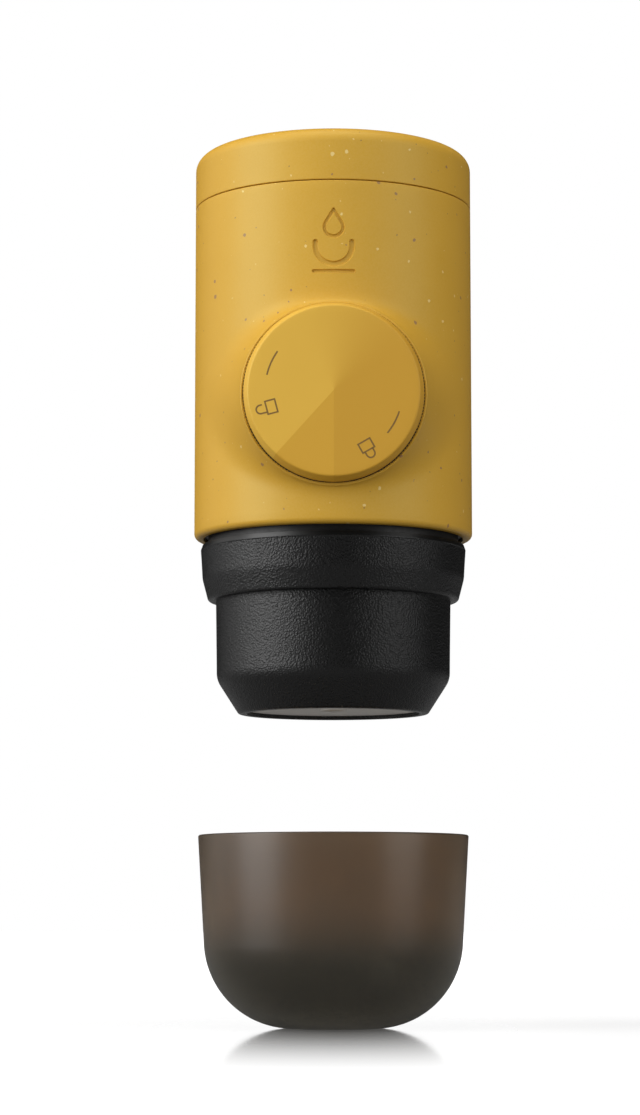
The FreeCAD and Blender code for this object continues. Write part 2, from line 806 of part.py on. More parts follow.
def make_pump_housing():
    body = new_body("pump_housing", SHELL)
    plate = SHELL_BORE - S["plate_inset"]
    column = (ZERO, COLUMN)
    barrel = S["bore_radius"] + S["barrel_wall"]
    shelf = S["spring_coil_radius"] + S["spring_wire"] * 0.5 + S["spring_shelf"]
    back = BORE_BACK + S["chamber_length"]
    on_axis = {"plane": "YZ_Plane", "shift": (0, S["button_height"], 0), "axis": "H_Axis"}
    post(body, "LowerPlate", (ZERO, ZERO), plate, DECK, DECK + S["plate_thickness"])
    post(body, "Column", column, S["column_radius"], DECK, SOCKET)
    post(body, "UpperPlate", (ZERO, ZERO), plate, TOP_PLATE, SOCKET)
    front = -PLATE_FRONT
    cut = draw(body, "FrontCut", (
        (-plate, -plate), (plate, -plate), (plate, front), (-plate, front),
    ), plane="XY_Plane", shift=(0, 0, SOCKET))
    extrude(body, "Front", cut, SOCKET - DECK, cut=True)
    for side in (-1, 1):
        place = ((SHELL_BORE - S["post_inset"]) * side, S["post_back"])
        post(body, "LeftPost" if side < 0 else "RightPost", place, S["post_radius"], DECK, SOCKET)
    revolve(body, "Barrel", (
        (back + S["barrel_end"], 0),
        (back + S["barrel_end"], barrel),
        (-S["spring_shelf"], barrel),
        (-S["spring_shelf"], shelf),
        (-SHELF_FRONT, shelf),
        (-SHELF_FRONT, barrel),
        (-BARREL_FRONT, barrel),
        (-BARREL_FRONT, 0),
    ), **on_axis)
    revolve(body, "Bore", (
        (back, 0),
        (back, S["chamber_radius"]),
        (BORE_BACK, S["chamber_radius"]),
        (BORE_BACK, S["bore_radius"]),
        (-(BARREL_FRONT + S["slip"]), S["bore_radius"]),
        (-(BARREL_FRONT + S["slip"]), 0),
    ), cut=True, **on_axis)
    hole(body, "Passage", column, S["passage_radius"], SOCKET, SOCKET - DECK)
    hole(body, "InletPocket", column, S["valve_pocket_radius"], SOCKET, S["valve_pocket_depth"])
    hole(body, "OutletPocket", column, S["valve_pocket_radius"], DECK + S["valve_pocket_depth"],
         S["valve_pocket_depth"])
    for number, angle in enumerate(SCREW_ANGLES, 1):
        hole(body, f"LowerScrewHole{number}", screw_place(angle), S["screw_radius"] + S["screw_play"],
             DECK + S["plate_thickness"], S["plate_thickness"])
        hole(body, f"UpperScrewHole{number}", screw_place(angle), S["screw_radius"], SOCKET,
             S["plate_thickness"])


def make_duckbill(label, top):
    """A silicone one-way valve that lets water down."""
    body = new_body(label, SHELL + top, behind=COLUMN)
    flange = S["valve_pocket_radius"]
    flange_low = -S["duckbill_flange"]
    tip = -S["duckbill_length"]
    revolve(body, "Turned", (
        (S["duckbill_slit"], tip),
        (S["duckbill_tip"], tip),
        (S["passage_radius"] + S["duckbill_wall"], flange_low),
        (flange, flange_low),
        (flange, 0),
        (S["passage_radius"], 0),
        (S["passage_radius"], flange_low),
        (S["duckbill_slit"], tip + S["duckbill_tip_wall"]),
    ))


def make_return_spring():
    body = new_body("return_spring", SHELL + S["button_height"], "front")
    front = ROD_SHOULDER - S["washer_thickness"] - S["slip"]
    spring(body, S["spring_wire"], S["spring_coil_radius"], S["spring_turns"], SHELF_FRONT, front)


def make_plunger():
    level = SHELL + S["button_height"]
    bore = S["bore_radius"]
    piston = bore - S["piston_play"]
    groove = bore - S["seal_play"] - S["seal_groove_depth"] - S["piston_play"]
    groove_back = PISTON_BACK + (S["piston_length"] - S["seal_groove_width"]) * 0.5
    groove_front = groove_back + S["seal_groove_width"]
    clip_back = CLIP_FLOOR + S["body_gap"]
    clip_front = clip_back + S["clip_sheet"]
    rod_end = SLEEVE_FRONT - S["body_gap"]
    clip_core = S["rod_neck"] - S["clip_groove"]
    turned("plunger_rod", level, (
        (0, PISTON_BACK),
        (piston, PISTON_BACK),
        (piston, groove_back),
        (groove, groove_back),
        (groove, groove_front),
        (piston, groove_front),
        (piston, PISTON_FRONT),
        (S["rod_radius"], PISTON_FRONT),
        (S["rod_radius"], ROD_SHOULDER),
        (S["rod_neck"], ROD_SHOULDER),
        (S["rod_neck"], clip_back),
        (clip_core, clip_back),
        (clip_core, clip_front),
        (S["rod_neck"], clip_front),
        (S["rod_neck"], rod_end),
        (0, rod_end),
    ), "front")
    seal = bore - S["seal_play"]
    seal_back = groove_back + S["seal_side_play"]
    seal_front = groove_front - S["seal_side_play"]
    middle = (seal_back + seal_front) * 0.5
    turned("piston_seal", level, (
        (groove, seal_back),
        (seal, seal_back, S["seal_round"]),
        (seal, middle - S["seal_waist"]),
        (seal - S["seal_waist"], middle),
        (seal, middle + S["seal_waist"]),
        (seal, seal_front, S["seal_round"]),
        (groove, seal_front),
    ), "front")
    clip = turned("rod_clip", level, (
        (clip_core, clip_back),
        (S["clip_radius"], clip_back),
        (S["clip_radius"], clip_front),
        (clip_core, clip_front),
    ), "front")
    slot = draw(clip, "Slot", (
        (0, -clip_core), (S["clip_radius"], -clip_core), (S["clip_radius"], clip_core), (0, clip_core),
    ), plane="XY_Plane", shift=(0, 0, clip_front))
    extrude(clip, "Mouth", slot, S["clip_sheet"] * 2, cut=True)
    washer = S["sleeve_radius"] - S["sleeve_wall"] - S["piston_play"]
    turned("spring_washer", level, (
        (S["rod_radius"], ROD_SHOULDER - S["washer_thickness"]),
        (washer, ROD_SHOULDER - S["washer_thickness"]),
        (washer, ROD_SHOULDER),
        (S["rod_radius"], ROD_SHOULDER),
    ), "front")


def make_piston_sleeve():
    body = new_body("piston_sleeve", SHELL + S["button_height"], "front")
    inside = S["sleeve_radius"] - S["sleeve_wall"]
    rod_hole = S["rod_neck"] + S["sleeve_play"]
    revolve(body, "Turned", (
        (rod_hole, SLEEVE_WALL_BACK),
        (inside, SLEEVE_WALL_BACK),
        (inside, LUG_BACK),
        (S["sleeve_radius"], LUG_BACK),
        (S["sleeve_radius"], SLEEVE_FRONT),
        (S["clip_pocket_radius"], SLEEVE_FRONT),
        (S["clip_pocket_radius"], CLIP_FLOOR),
        (rod_hole, CLIP_FLOOR),
    ))
    half = S["lug_width"] * 0.5
    sketch = draw(body, "LugOutline", (
        (S["sleeve_radius"] - S["sleeve_wall"] * 0.5, -half),
        (LUG_RADIUS, -half),
        (LUG_RADIUS, half),
        (S["sleeve_radius"] - S["sleeve_wall"] * 0.5, half),
    ), plane="XY_Plane", shift=(0, 0, LUG_BACK))
    lug = extrude(body, "Lug", sketch, S["lug_thickness"])
    repeat(body, lug, sketch, S["lug_count"], "Lugs")


def make_bayonet_collar():
    body = new_body("bayonet_collar", SHELL + S["button_height"], "front")
    inside = S["sleeve_radius"] + S["sleeve_play"]
    groove = LUG_RADIUS + S["sleeve_play"]
    revolve(body, "Turned", (
        (inside, COLLAR_BACK),
        (BOSS_BORE, COLLAR_BACK),
        (BOSS_BORE, COLLAR_FRONT),
        (inside, COLLAR_FRONT),
    ))
    half = S["lug_width"] * 0.5 + S["lug_play"]
    sketch = draw(body, "GrooveOutline", (
        (inside - S["lug_play"], -half), (groove, -half), (groove, half), (inside - S["lug_play"], half),
    ), plane="XY_Plane", shift=(0, 0, GROOVE_FRONT))
    groove_cut = extrude(body, "Groove", sketch, GROOVE_FRONT - COLLAR_BACK, cut=True)
    repeat(body, groove_cut, sketch, S["lug_count"], "Grooves")


def make_button_cap():
    face = S["button_radius"] - S["button_face_inset"]
    recess = S["sleeve_radius"] + S["slip"]
    turned("button_cap", SHELL + S["button_height"], (
        (0, SLEEVE_FRONT),
        (recess, SLEEVE_FRONT),
        (recess, BUTTON_BACK),
        (S["button_radius"], BUTTON_BACK),
        (S["button_radius"], BUTTON_FACE - S["button_bevel"], S["button_bevel_round"]),
        (face, BUTTON_FACE),
        (0, BUTTON_FACE),
    ), "front")


# ---------------------------------------------------------------- casing

def junction_edges(shape, radius):
    """The curved edges where the boss meets the casing's cylinder of this radius."""
    names = []
    for index, edge in enumerate(shape.Edges, 1):
        spots = [edge.valueAt(edge.FirstParameter + (edge.LastParameter - edge.FirstParameter) * part)
                 for part in (0.1, 0.35, 0.6, 0.9)]
        on_wall = all(abs(math.hypot(spot.x, spot.y) - radius) < ON_WALL for spot in spots)
        level = max(spot.z for spot in spots) - min(spot.z for spot in spots) < ON_WALL
        straight = isinstance(edge.Curve, Part.Line)
        if on_wall and not level and not straight:
            names.append(f"Edge{index}")
    return names


def make_body_shell():
    body = new_body("body_shell", SHELL)
    on_axis = {"plane": "YZ_Plane", "shift": (0, S["button_height"], 0), "axis": "H_Axis"}
    revolve(body, "Turned", (
        (0, 0),
        (S["body_radius"], 0, S["shell_foot_round"]),
        (S["body_radius"], S["shell_height"], S["shell_rim_round"]),
        (0, S["shell_height"]),
    ))
    lip = BOSS_BORE + S["boss_lip"]
    boss = revolve(body, "Boss", (
        (-(BOSS_FACE - S["boss_depth"]), 0),
        (-(BOSS_FACE - S["boss_depth"]), lip + S["boss_flare"]),
        (-BOSS_FACE, lip, S["boss_lip_round"]),
        (-BOSS_FACE, 0),
    ), **on_axis)
    flare = body.newObject("PartDesign::Fillet", "Flare")
    flare.Base = (boss, junction_edges(boss.Shape, S["body_radius"].number))
    flare.Radius = S["boss_fillet"].number
    bind(flare, "Radius", S["boss_fillet"])
    doc.recompute()
    ledge = SHELL_BORE - S["shell_ledge"]
    revolve(body, "Inside", (
        (0, -S["boss_flare"]),
        (SHELL_BORE, -S["boss_flare"]),
        (SHELL_BORE, DECK),
        (ledge, DECK),
        (ledge, DECK + S["shell_ledge_height"]),
        (SHELL_BORE, DECK + S["shell_ledge_height"]),
        (SHELL_BORE, S["shell_height"] + S["slip"]),
        (0, S["shell_height"] + S["slip"]),
    ), cut=True)
    revolve(body, "ButtonBore", (
        (-LUG_BACK, 0),
        (-LUG_BACK, BOSS_BORE),
        (-(BOSS_FACE + S["slip"]), BOSS_BORE),
        (-(BOSS_FACE + S["slip"]), 0),
    ), cut=True, **on_axis)


def make_tank_cap():
    inside = TANK_RADIUS + S["slip"]
    turned("tank_cap", SHELL, (
        (inside, CAP_RIM),
        (S["body_radius"], CAP_RIM, S["shell_rim_round"]),
        (S["body_radius"], CAP_RIM + S["cap_height"], S["cap_round"]),
        (0, CAP_RIM + S["cap_height"]),
        (0, CAP_ROOF),
        (inside, CAP_ROOF, S["tank_round"]),
    ))


# ---------------------------------------------------------------- water tank

def make_water_tank():
    body = new_body("water_tank", SHELL)
    neck_bore = THREAD_CORE - S["tank_neck_wall"]
    inside = TANK_RADIUS - S["tank_wall"]
    revolve(body, "Turned", (
        (neck_bore, TANK_NECK),
        (THREAD_CORE, TANK_NECK),
        (THREAD_CORE, TANK_SHOULDER),
        (TANK_RADIUS, TANK_SHOULDER),
        (TANK_RADIUS, CAP_ROOF, S["tank_round"]),
        (0, CAP_ROOF),
        (0, CAP_ROOF - S["tank_roof"]),
        (inside, CAP_ROOF - S["tank_roof"], S["tank_round"] - S["tank_wall"]),
        (inside, TANK_SHOULDER + S["tank_roof"]),
        (neck_bore, TANK_SHOULDER + S["tank_roof"]),
    ))
    low = TANK_NECK + S["thread_lead_in"]
    thread(body, THREAD_CORE - S["slip"], THREAD_CORE + S["thread_depth"], low, "XZ_Plane")


def make_tank_gasket():
    inner = THREAD_BORE + S["tank_gasket_inset"]
    outer = TANK_RADIUS - S["tank_gasket_inset"]
    edge = S["tank_gasket_round"]
    turned("tank_gasket", SHELL + SOCKET_RIM + S["slip"], (
        (inner, 0, edge),
        (outer, 0, edge),
        (outer, S["tank_gasket_height"], edge),
        (inner, S["tank_gasket_height"], edge),
    ))


def make_tank_socket():
    body = new_body("tank_socket", SHELL)
    outside = SHELL_BORE - S["slip"]
    column = (ZERO, COLUMN)
    vent = (ZERO, -VENT)
    revolve(body, "Turned", (
        (0, SOCKET),
        (outside, SOCKET),
        (outside, SOCKET_RIM),
        (THREAD_BORE + S["thread_lead_in"], SOCKET_RIM),
        (THREAD_BORE, SOCKET_RIM - S["thread_lead_in"]),
        (THREAD_BORE, TANK_FLOOR),
        (0, TANK_FLOOR),
    ))
    low = TANK_NECK + S["thread_lead_in"]
    thread(body, THREAD_BORE + S["slip"], THREAD_BORE - S["thread_depth"], low, "YZ_Plane")
    hole(body, "Inlet", column, S["passage_radius"], TANK_FLOOR, S["socket_floor"])
    hole(body, "StrainerRecess", column, S["strainer_radius"], TANK_FLOOR, S["strainer_sheet"])
    hole(body, "Vent", vent, S["vent_radius"], TANK_FLOOR, S["socket_floor"])
    for number, angle in enumerate(SCREW_ANGLES, 1):
        place = screw_place(angle)
        hole(body, f"ScrewHole{number}", place, S["screw_radius"] + S["screw_play"], TANK_FLOOR,
             S["socket_floor"])
        hole(body, f"ScrewRecess{number}", place, S["screw_head_radius"] + S["slip"], TANK_FLOOR,
             S["screw_head"])


def make_inlet_strainer():
    low = SHELL + TANK_FLOOR - S["strainer_sheet"]
    body = new_body("inlet_strainer", low, behind=COLUMN)
    sheet_thickness = S["strainer_sheet"]
    post(body, "Disc", (ZERO, ZERO), S["strainer_radius"], ZERO, sheet_thickness)
    hole(body, "Middle", (ZERO, ZERO), S["strainer_hole"], sheet_thickness, sheet_thickness)
    hole_rings(body, STRAINER_HOLE_RINGS, S["strainer_radius"], S["strainer_hole"], sheet_thickness,
               sheet_thickness)


def make_vent_valve():
    body = new_body("vent_valve", SHELL + TANK_FLOOR, behind=-VENT)
    stem = S["vent_radius"] - S["slip"]
    floor = S["socket_floor"]
    revolve(body, "Turned", (
        (0, -floor - S["vent_foot"]),
        (stem, -floor - S["vent_foot"]),
        (stem + S["vent_barb"], -floor),
        (stem, -floor),
        (stem, 0),
        (S["vent_disc_radius"], 0),
        (S["vent_disc_radius"], S["vent_disc"] * 0.5),
        (stem, S["vent_disc"]),
        (0, S["vent_disc"]),
    ))


def make_screen_screw():
    screw = make_screw(
        "screen_screw", (ZERO, ZERO), SHELL + SPIGOT + S["screen_depth"], S["spigot_web"], head_up=False
    )
    screw.Label = "screen_screw"
    return screw


def make_screws():
    make_screw_set("housing_screws", SHELL + DECK + S["plate_thickness"], S["screw_length"])
    make_screw_set("socket_screws", SHELL + TANK_FLOOR - S["screw_head"], S["socket_screw_length"])


NODES = (
    "cup", "outlet_head", "spout_plate", "valve_seat", "crema_valve", "crema_spring", "filter_basket",
    "group_head", "shower_screen", "group_gasket", "screen_screw", "pump_housing", "inlet_valve",
    "outlet_valve", "return_spring", "plunger_rod", "piston_seal", "rod_clip", "spring_washer",
    "piston_sleeve", "bayonet_collar", "button_cap", "body_shell", "tank_cap", "water_tank",
    "tank_gasket", "tank_socket", "inlet_strainer", "vent_valve", "housing_screws", "socket_screws",
)


def build():
    make_cup()
    make_outlet_head()
    make_spout_plate()
    make_crema_valve()
    make_filter_basket()
    make_group_head()
    make_shower_screen()
    make_group_gasket()
    make_screen_screw()
    make_pump_housing()
    make_duckbill("inlet_valve", SOCKET)
    make_duckbill("outlet_valve", DECK + S["valve_pocket_depth"])
    make_return_spring()
    make_plunger()
    make_piston_sleeve()
    make_bayonet_collar()
    make_button_cap()
    make_body_shell()
    make_tank_cap()
    make_water_tank()
    make_tank_gasket()
    make_tank_socket()
    make_inlet_strainer()
    make_vent_valve()
    make_screws()
    doc.recompute()


def export():
    """Check every object and every sub-part, then write one file for each sub-part."""
    faults = [item.Name for item in doc.Objects if {"Invalid", "Error"} & set(item.State)]
    pieces = {label: doc.getObjectsByLabel(label)[0] for label in NODES}
    faults += [label for label, piece in pieces.items() if piece.Shape.isNull() or not piece.Shape.isValid()]
    if faults:
        raise RuntimeError("these did not build: " + ", ".join(faults))
    os.makedirs("parts", exist_ok=True)
    for label, piece in pieces.items():
        piece.Shape.exportStep(f"parts/{label}.step")


build()
export()
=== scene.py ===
"""Looks of a handheld manual espresso maker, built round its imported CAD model."""

import math

import bmesh
import bpy
from mathutils import Matrix, Vector, geometry


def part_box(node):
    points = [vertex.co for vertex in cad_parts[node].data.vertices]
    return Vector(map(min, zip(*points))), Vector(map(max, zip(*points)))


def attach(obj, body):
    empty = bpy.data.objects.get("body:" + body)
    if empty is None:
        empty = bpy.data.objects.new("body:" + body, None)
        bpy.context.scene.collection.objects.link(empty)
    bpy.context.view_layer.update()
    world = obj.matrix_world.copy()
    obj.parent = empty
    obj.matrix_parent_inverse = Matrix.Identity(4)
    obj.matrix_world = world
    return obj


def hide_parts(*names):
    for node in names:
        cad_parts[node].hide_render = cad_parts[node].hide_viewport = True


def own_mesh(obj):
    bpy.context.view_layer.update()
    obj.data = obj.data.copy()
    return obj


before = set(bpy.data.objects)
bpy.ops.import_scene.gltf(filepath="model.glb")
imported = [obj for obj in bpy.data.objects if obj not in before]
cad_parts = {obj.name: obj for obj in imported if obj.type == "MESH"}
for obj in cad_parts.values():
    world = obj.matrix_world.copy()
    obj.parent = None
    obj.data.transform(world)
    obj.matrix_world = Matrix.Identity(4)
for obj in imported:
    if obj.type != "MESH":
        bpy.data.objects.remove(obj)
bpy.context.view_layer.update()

MM = 0.001


def size_of(node):
    """Lowest and highest corner of a CAD node, in millimetres."""
    low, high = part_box(node)
    return low / MM, high / MM


# ---------------------------------------------------------------- sizes from the frame, in millimetres

SHELL_LOW, SHELL_HIGH = size_of("body_shell")
BUTTON_LOW, BUTTON_HIGH = size_of("button_cap")
SLEEVE_HIGH = size_of("piston_sleeve")[1]
CUP_HIGH = size_of("cup")[1]

BODY_RADIUS = SHELL_HIGH.x
SHELL_FOOT = SHELL_LOW.z
SHELL_TOP = SHELL_HIGH.z
PUMP_HEIGHT = (BUTTON_LOW.z + BUTTON_HIGH.z) / 2
BUTTON_RADIUS = BUTTON_HIGH.x
BUTTON_FACE = -BUTTON_LOW.y
BUTTON_BACK = -BUTTON_HIGH.y
BOSS_FACE = -SHELL_LOW.y
CUP_RIM_RADIUS = CUP_HIGH.x
CUP_HEIGHT = CUP_HIGH.z
RING_TOP = size_of("outlet_head")[1].z

# ---------------------------------------------------------------- sizes of the details, in millimetres

SEGMENTS = 240
ARC_STEP = 0.6
FEWEST_ARC_STEPS = 5
SHELL_WELD = 0.0005
FLAT_WELD = 0.00001

SHELL_WALL = 2.0
FOOT_ROUND = 1.2
RIM_ROUND = 0.2
SEAM_DEPTH = 0.8
SEAM_STEP = 0.13
LEDGE_HEIGHT = 2.0
LEDGE_WIDTH = 1.7
DECK_GAP = 6.0

BORE_GAP = 0.04
LIP_WIDTH = 0.75
LIP_ROUND = 0.3
BORE_EDGE_ROUND = 0.18
BOSS_WALL_LEAN = 0.36
FLARE_LOW = 3.2
FLARE_WIDE = 8.0
BOSS_DIRECTIONS = 176
FLARE_STEPS = 14

MARK_HEIGHT = 166.6
MARK_STEP = 0.1
MARK_HALF_WIDTH = 5.4
MARK_HALF_HEIGHT = 7.4
BROAD_STROKE = 1.05
FINE_STROKE = 0.6
STROKE_WALL = 0.16
STROKE_DEPTH = 0.42

OUTER_ROW_STEP = 1.5
INNER_ROW_STEP = 4.5
FLARE_MARGIN = 0.4
SIGN_MARGIN = 0.3
BORE_MARGIN = 0.8

BUTTON_BEVEL = 2.5
BUTTON_FACE_INSET = 0.9
BUTTON_BEVEL_ROUND = 0.6
BUTTON_EDGE_ROUND = 0.5
BUTTON_RECESS = 1.45
RECESS_GAP = 0.1
FACET_TILT = 0.03
WEDGE_TILT = 0.027
FACE_RINGS = 12
WEDGE_START = math.radians(180)
WEDGE_END = math.radians(222)
LEFT_END = math.radians(290)
RIGHT_START = math.radians(430)

PRINT_RING = 14.4
PRINT_WIDTH = 0.34
PRINT_LIFT = 0.012
PRINT_SINK = 0.04
GUIDE_LINES = ((283, 305), (108, 129))
OPEN_LOCK_AT = 255
CLOSED_LOCK_AT = 150
LOCK_HALF = 1.4
LOCK_FOOT = -1.9
LOCK_SHOULDER = 0.2
SHACKLE_RADIUS = 0.9
SHACKLE_RISE = 0.8
SHACKLE_STEPS = 10
OPEN_LIFT = 0.5
OPEN_LEG_LIFT = 0.75


# ---------------------------------------------------------------- materials

def linear(hex_colour):
    """An sRGB hex colour as linear red, green, blue and alpha."""
    channels = [int(hex_colour[at:at + 2], 16) / 255 for at in (1, 3, 5)]
    return [c / 12.92 if c <= 0.04045 else ((c + 0.055) / 1.055) ** 2.4 for c in channels] + [1.0]


def per_mm(size):
    """Texture scale, in a frame of metres, that makes one cell of a pattern this many millimetres."""
    return 1 / (size * MM)


def add(tree, kind, *feeds, **named):
    """Adds a shader node. Feeds go to its inputs in order. A named word is an input if it starts with a
    capital, and a setting if not. What feeds an input is a value, a node's output, or a node, for its first
    output."""
    node = tree.nodes.new("ShaderNode" + kind)
    for name, value in named.items():
        if name.islower():
            setattr(node, name, value)
    inputs = [socket for socket in node.inputs if socket.enabled]
    fed = list(zip(inputs, feeds))
    for name, value in named.items():
        if not name.islower():
            fed.append((next(socket for socket in inputs if socket.name == name.replace("_", " ")), value))
    for socket, source in fed:
        if isinstance(source, bpy.types.Node):
            source = next(output for output in source.outputs if output.enabled)
        if isinstance(source, bpy.types.NodeSocket):
            tree.links.new(source, socket)
        else:
            socket.default_value = source
    return node


def blank(name):
    """An empty material, its tree, and the place on the surface in metres."""
    material = bpy.data.materials.new(name)
    material.use_nodes = True
    tree = material.node_tree
    tree.nodes.clear()
    return material, tree, add(tree, "TexCoord").outputs["Object"]


# Nearly all values of a noise lie between these two.
NOISE_SPREAD = (0.3, 0.7)

# Flecks: spacing in millimetres, smallest and largest radius as a share of it, dark and pale colour. Then
# the share of dark ones, how far they cover the mustard, and how far their outlines stray, in millimetres.
FLECKS = (
    (3.6, 0.04, 0.12, "#87595C", "#F6E09A"),
    (2.3, 0.03, 0.09, "#916A48", "#F0D486"),
)
DARK_FLECKS = 0.55
FLECK_COVER = 0.65
FLECK_STRAY = 0.5

# A cool gloss, which reads as lemon over the mustard.
ABS_GLOSS = "#CFFFDA"

# Directions on the button's face, clockwise from its top, between which painted shade deepens its tone to the
# right.
RIGHT_SHADE_TURN = (math.radians(-35), math.radians(65))

# Leather grain: how much of it is fine, and its relief from the pads to the valleys. The smooth band is under
# the ring's top, in millimetres.
FINE_GRAIN = 0.4
GRAIN_SPREAD = (0.3, 0.9)
SMOOTH_BAND_FOOT = 1.3
SMOOTH_BAND_TOP = 0.9
SMOOTH_BAND_ROUGHNESS = 0.30

# Shares of the cup's height between which its smoke turns from deep to thin.
DEEP_SMOKE_BELOW = 0.30
THIN_SMOKE_ABOVE = 0.62


def flecked_abs():
    # ABS moulded with coarse coloured filler in a fine spark-eroded tool: an even satin mustard that glows in
    # a broad soft lemon band, with sparse dusky and cream flecks of 0.15 to 0.85 mm lying in the skin. The
    # spark grain is under 0.1 mm, too fine to show, so it is drawn at 0.4 mm.
    material, tree, place = blank("flecked_abs")
    stray = FLECK_STRAY * MM
    swirl = add(tree, "TexNoise", place, Scale=per_mm(0.7), Detail=1.0).outputs["Color"]
    stirred = add(tree, "VectorMath", swirl, (stray, stray, stray), place, operation="MULTIPLY_ADD")
    spark = add(tree, "TexNoise", place, Scale=per_mm(0.4), Detail=1.0)
    cloud = add(tree, "TexNoise", place, Scale=per_mm(9.0), Detail=3.0)
    tone = add(tree, "Mix", cloud, linear("#D5A230"), linear("#DBA836"), data_type="RGBA")
    glint = add(tree, "MapRange", spark, 0.35, 0.65, 0.0, 0.10)
    tone = add(tree, "Mix", glint, tone, linear("#E6C26C"), data_type="RGBA")
    for spacing, smallest, largest, dark, pale in FLECKS:
        cells = add(tree, "TexVoronoi", stirred, Scale=per_mm(spacing))
        kinds = add(tree, "SeparateColor", cells.outputs["Color"])
        reach = add(tree, "MapRange", kinds.outputs[0], 0.0, 1.0, smallest, largest)
        inside = add(tree, "Math", cells, reach, operation="LESS_THAN")
        is_pale = add(tree, "Math", kinds.outputs[1], DARK_FLECKS, operation="GREATER_THAN")
        fleck = add(tree, "Mix", is_pale, linear(dark), linear(pale), data_type="RGBA")
        cover = add(tree, "Math", inside, FLECK_COVER, operation="MULTIPLY")
        tone = add(tree, "Mix", cover, tone, fleck, data_type="RGBA")
    rough = add(tree, "MapRange", spark, *NOISE_SPREAD, 0.38, 0.48)
    relief = add(tree, "Bump", Height=spark, Distance=0.02 * MM, Strength=0.4)
    shader = add(tree, "BsdfPrincipled", tone, Roughness=rough, IOR=1.53, Normal=relief,
                 Specular_Tint=linear(ABS_GLOSS))
    add(tree, "OutputMaterial", shader)
    return material


def satin_abs():
    # The same ABS without filler, from a finer tool: a closed satin mustard with no flecks. The face is cut
    # in three sectors that meet in its middle. The wedge at the lower left and the right of the face are
    # painted darker, as painted shade.
    # The stoning marks are under 0.1 mm, too fine to show, so they are drawn at 0.3 mm.
    material, tree, place = blank("satin_abs")
    axes = add(tree, "SeparateXYZ", place)
    height = add(tree, "Math", axes.outputs[2], PUMP_HEIGHT * MM, operation="SUBTRACT")
    turn = add(tree, "Math", axes, height, operation="ARCTAN2")
    cloud = add(tree, "TexNoise", place, Scale=per_mm(8.0))
    tone = add(tree, "Mix", cloud, linear("#E4B23F"), linear("#E8B643"), data_type="RGBA")
    spark = add(tree, "TexNoise", place, Scale=per_mm(0.3), Detail=1.0)
    # Painted shade: the wedge at the lower left and the right of the face are painted darker than the rest.
    in_shaded_wedge = add(tree, "Math", turn, WEDGE_END - math.tau, operation="LESS_THAN")
    shade_to_right = add(tree, "MapRange", turn, *RIGHT_SHADE_TURN, 0.0, 1.0, interpolation_type="SMOOTHSTEP")
    tone = add(tree, "Mix", in_shaded_wedge, tone, linear("#DBA533"), data_type="RGBA")
    tone = add(tree, "Mix", shade_to_right, tone, linear("#D49E2F"), data_type="RGBA")
    rough = add(tree, "MapRange", spark, *NOISE_SPREAD, 0.40, 0.48)
    relief = add(tree, "Bump", Height=spark, Distance=0.012 * MM, Strength=0.3)
    shader = add(tree, "BsdfPrincipled", tone, Roughness=rough, IOR=1.53, Normal=relief,
                 Specular_Tint=linear(ABS_GLOSS))
    add(tree, "OutputMaterial", shader)
    return material


def printing_ink():
    # Brown pad-printing ink, a dull film a few hundredths of a millimetre thick with slightly uneven cover.
    material, tree, place = blank("printing_ink")
    cover = add(tree, "TexNoise", place, Scale=per_mm(0.4))
    tone = add(tree, "Mix", cover, linear("#7C5C26"), linear("#8A682D"), data_type="RGBA")
    shader = add(tree, "BsdfPrincipled", tone, Roughness=0.6)
    add(tree, "OutputMaterial", shader)
    return material


def leather_grained_nylon():
    # Black nylon moulded in a tool etched with a fine leather grain of about 0.4 mm: deep black that breaks
    # into small soft glints on the raised pads where a lamp meets it. A band under the ring's top is left
    # smooth and shines.
    material, tree, place = blank("leather_grained_nylon")
    pads = add(tree, "TexVoronoi", place, Scale=per_mm(0.42))
    fine = add(tree, "TexNoise", place, Scale=per_mm(0.3), Detail=1.0)
    relief = add(tree, "Math", fine, FINE_GRAIN, pads, operation="MULTIPLY_ADD")
    height = add(tree, "SeparateXYZ", place).outputs[2]
    band_foot, band_top = (RING_TOP - SMOOTH_BAND_FOOT) * MM, (RING_TOP - SMOOTH_BAND_TOP) * MM
    etched = add(tree, "MapRange", height, band_foot, band_top, 1.0, 0.0)
    relief = add(tree, "Math", relief, etched, operation="MULTIPLY")
    grained = add(tree, "MapRange", relief, *GRAIN_SPREAD, 0.21, 0.41)
    rough = add(tree, "Mix", etched, SMOOTH_BAND_ROUGHNESS, grained)
    # Painted shade: the valleys between the raised pads are painted darker than the pads.
    valley_shade = add(tree, "MapRange", relief, *GRAIN_SPREAD, 0.0, 1.0)
    tone = add(tree, "Mix", valley_shade, linear("#080807"), linear("#020202"), data_type="RGBA")
    relief = add(tree, "Bump", Height=relief, Distance=0.10 * MM, Strength=1.0, invert=True)
    shader = add(tree, "BsdfPrincipled", tone, Roughness=rough, IOR=1.53, Normal=relief)
    add(tree, "OutputMaterial", shader)
    return material


def glass_filled_nylon():
    # Glass-filled nylon for the parts inside: charcoal black with a faint grey bloom of fibres at the skin.
    # The fibres are about 0.01 mm thick, too fine to show, so the bloom is drawn at 0.5 mm.
    material, tree, place = blank("glass_filled_nylon")
    upright = add(tree, "Mapping", place, Scale=(1.0, 1.0, 0.3))
    bloom = add(tree, "TexNoise", upright, Scale=per_mm(0.5), Detail=4.0, Roughness=0.6)
    tone = add(tree, "Mix", bloom, linear("#0E0E0E"), linear("#1A1A19"), data_type="RGBA")
    rough = add(tree, "MapRange", bloom, *NOISE_SPREAD, 0.38, 0.52)
    relief = add(tree, "Bump", Height=bloom, Distance=0.015 * MM, Strength=0.4)
    shader = add(tree, "BsdfPrincipled", tone, Roughness=rough, IOR=1.53, Normal=relief)
    add(tree, "OutputMaterial", shader)
    return material


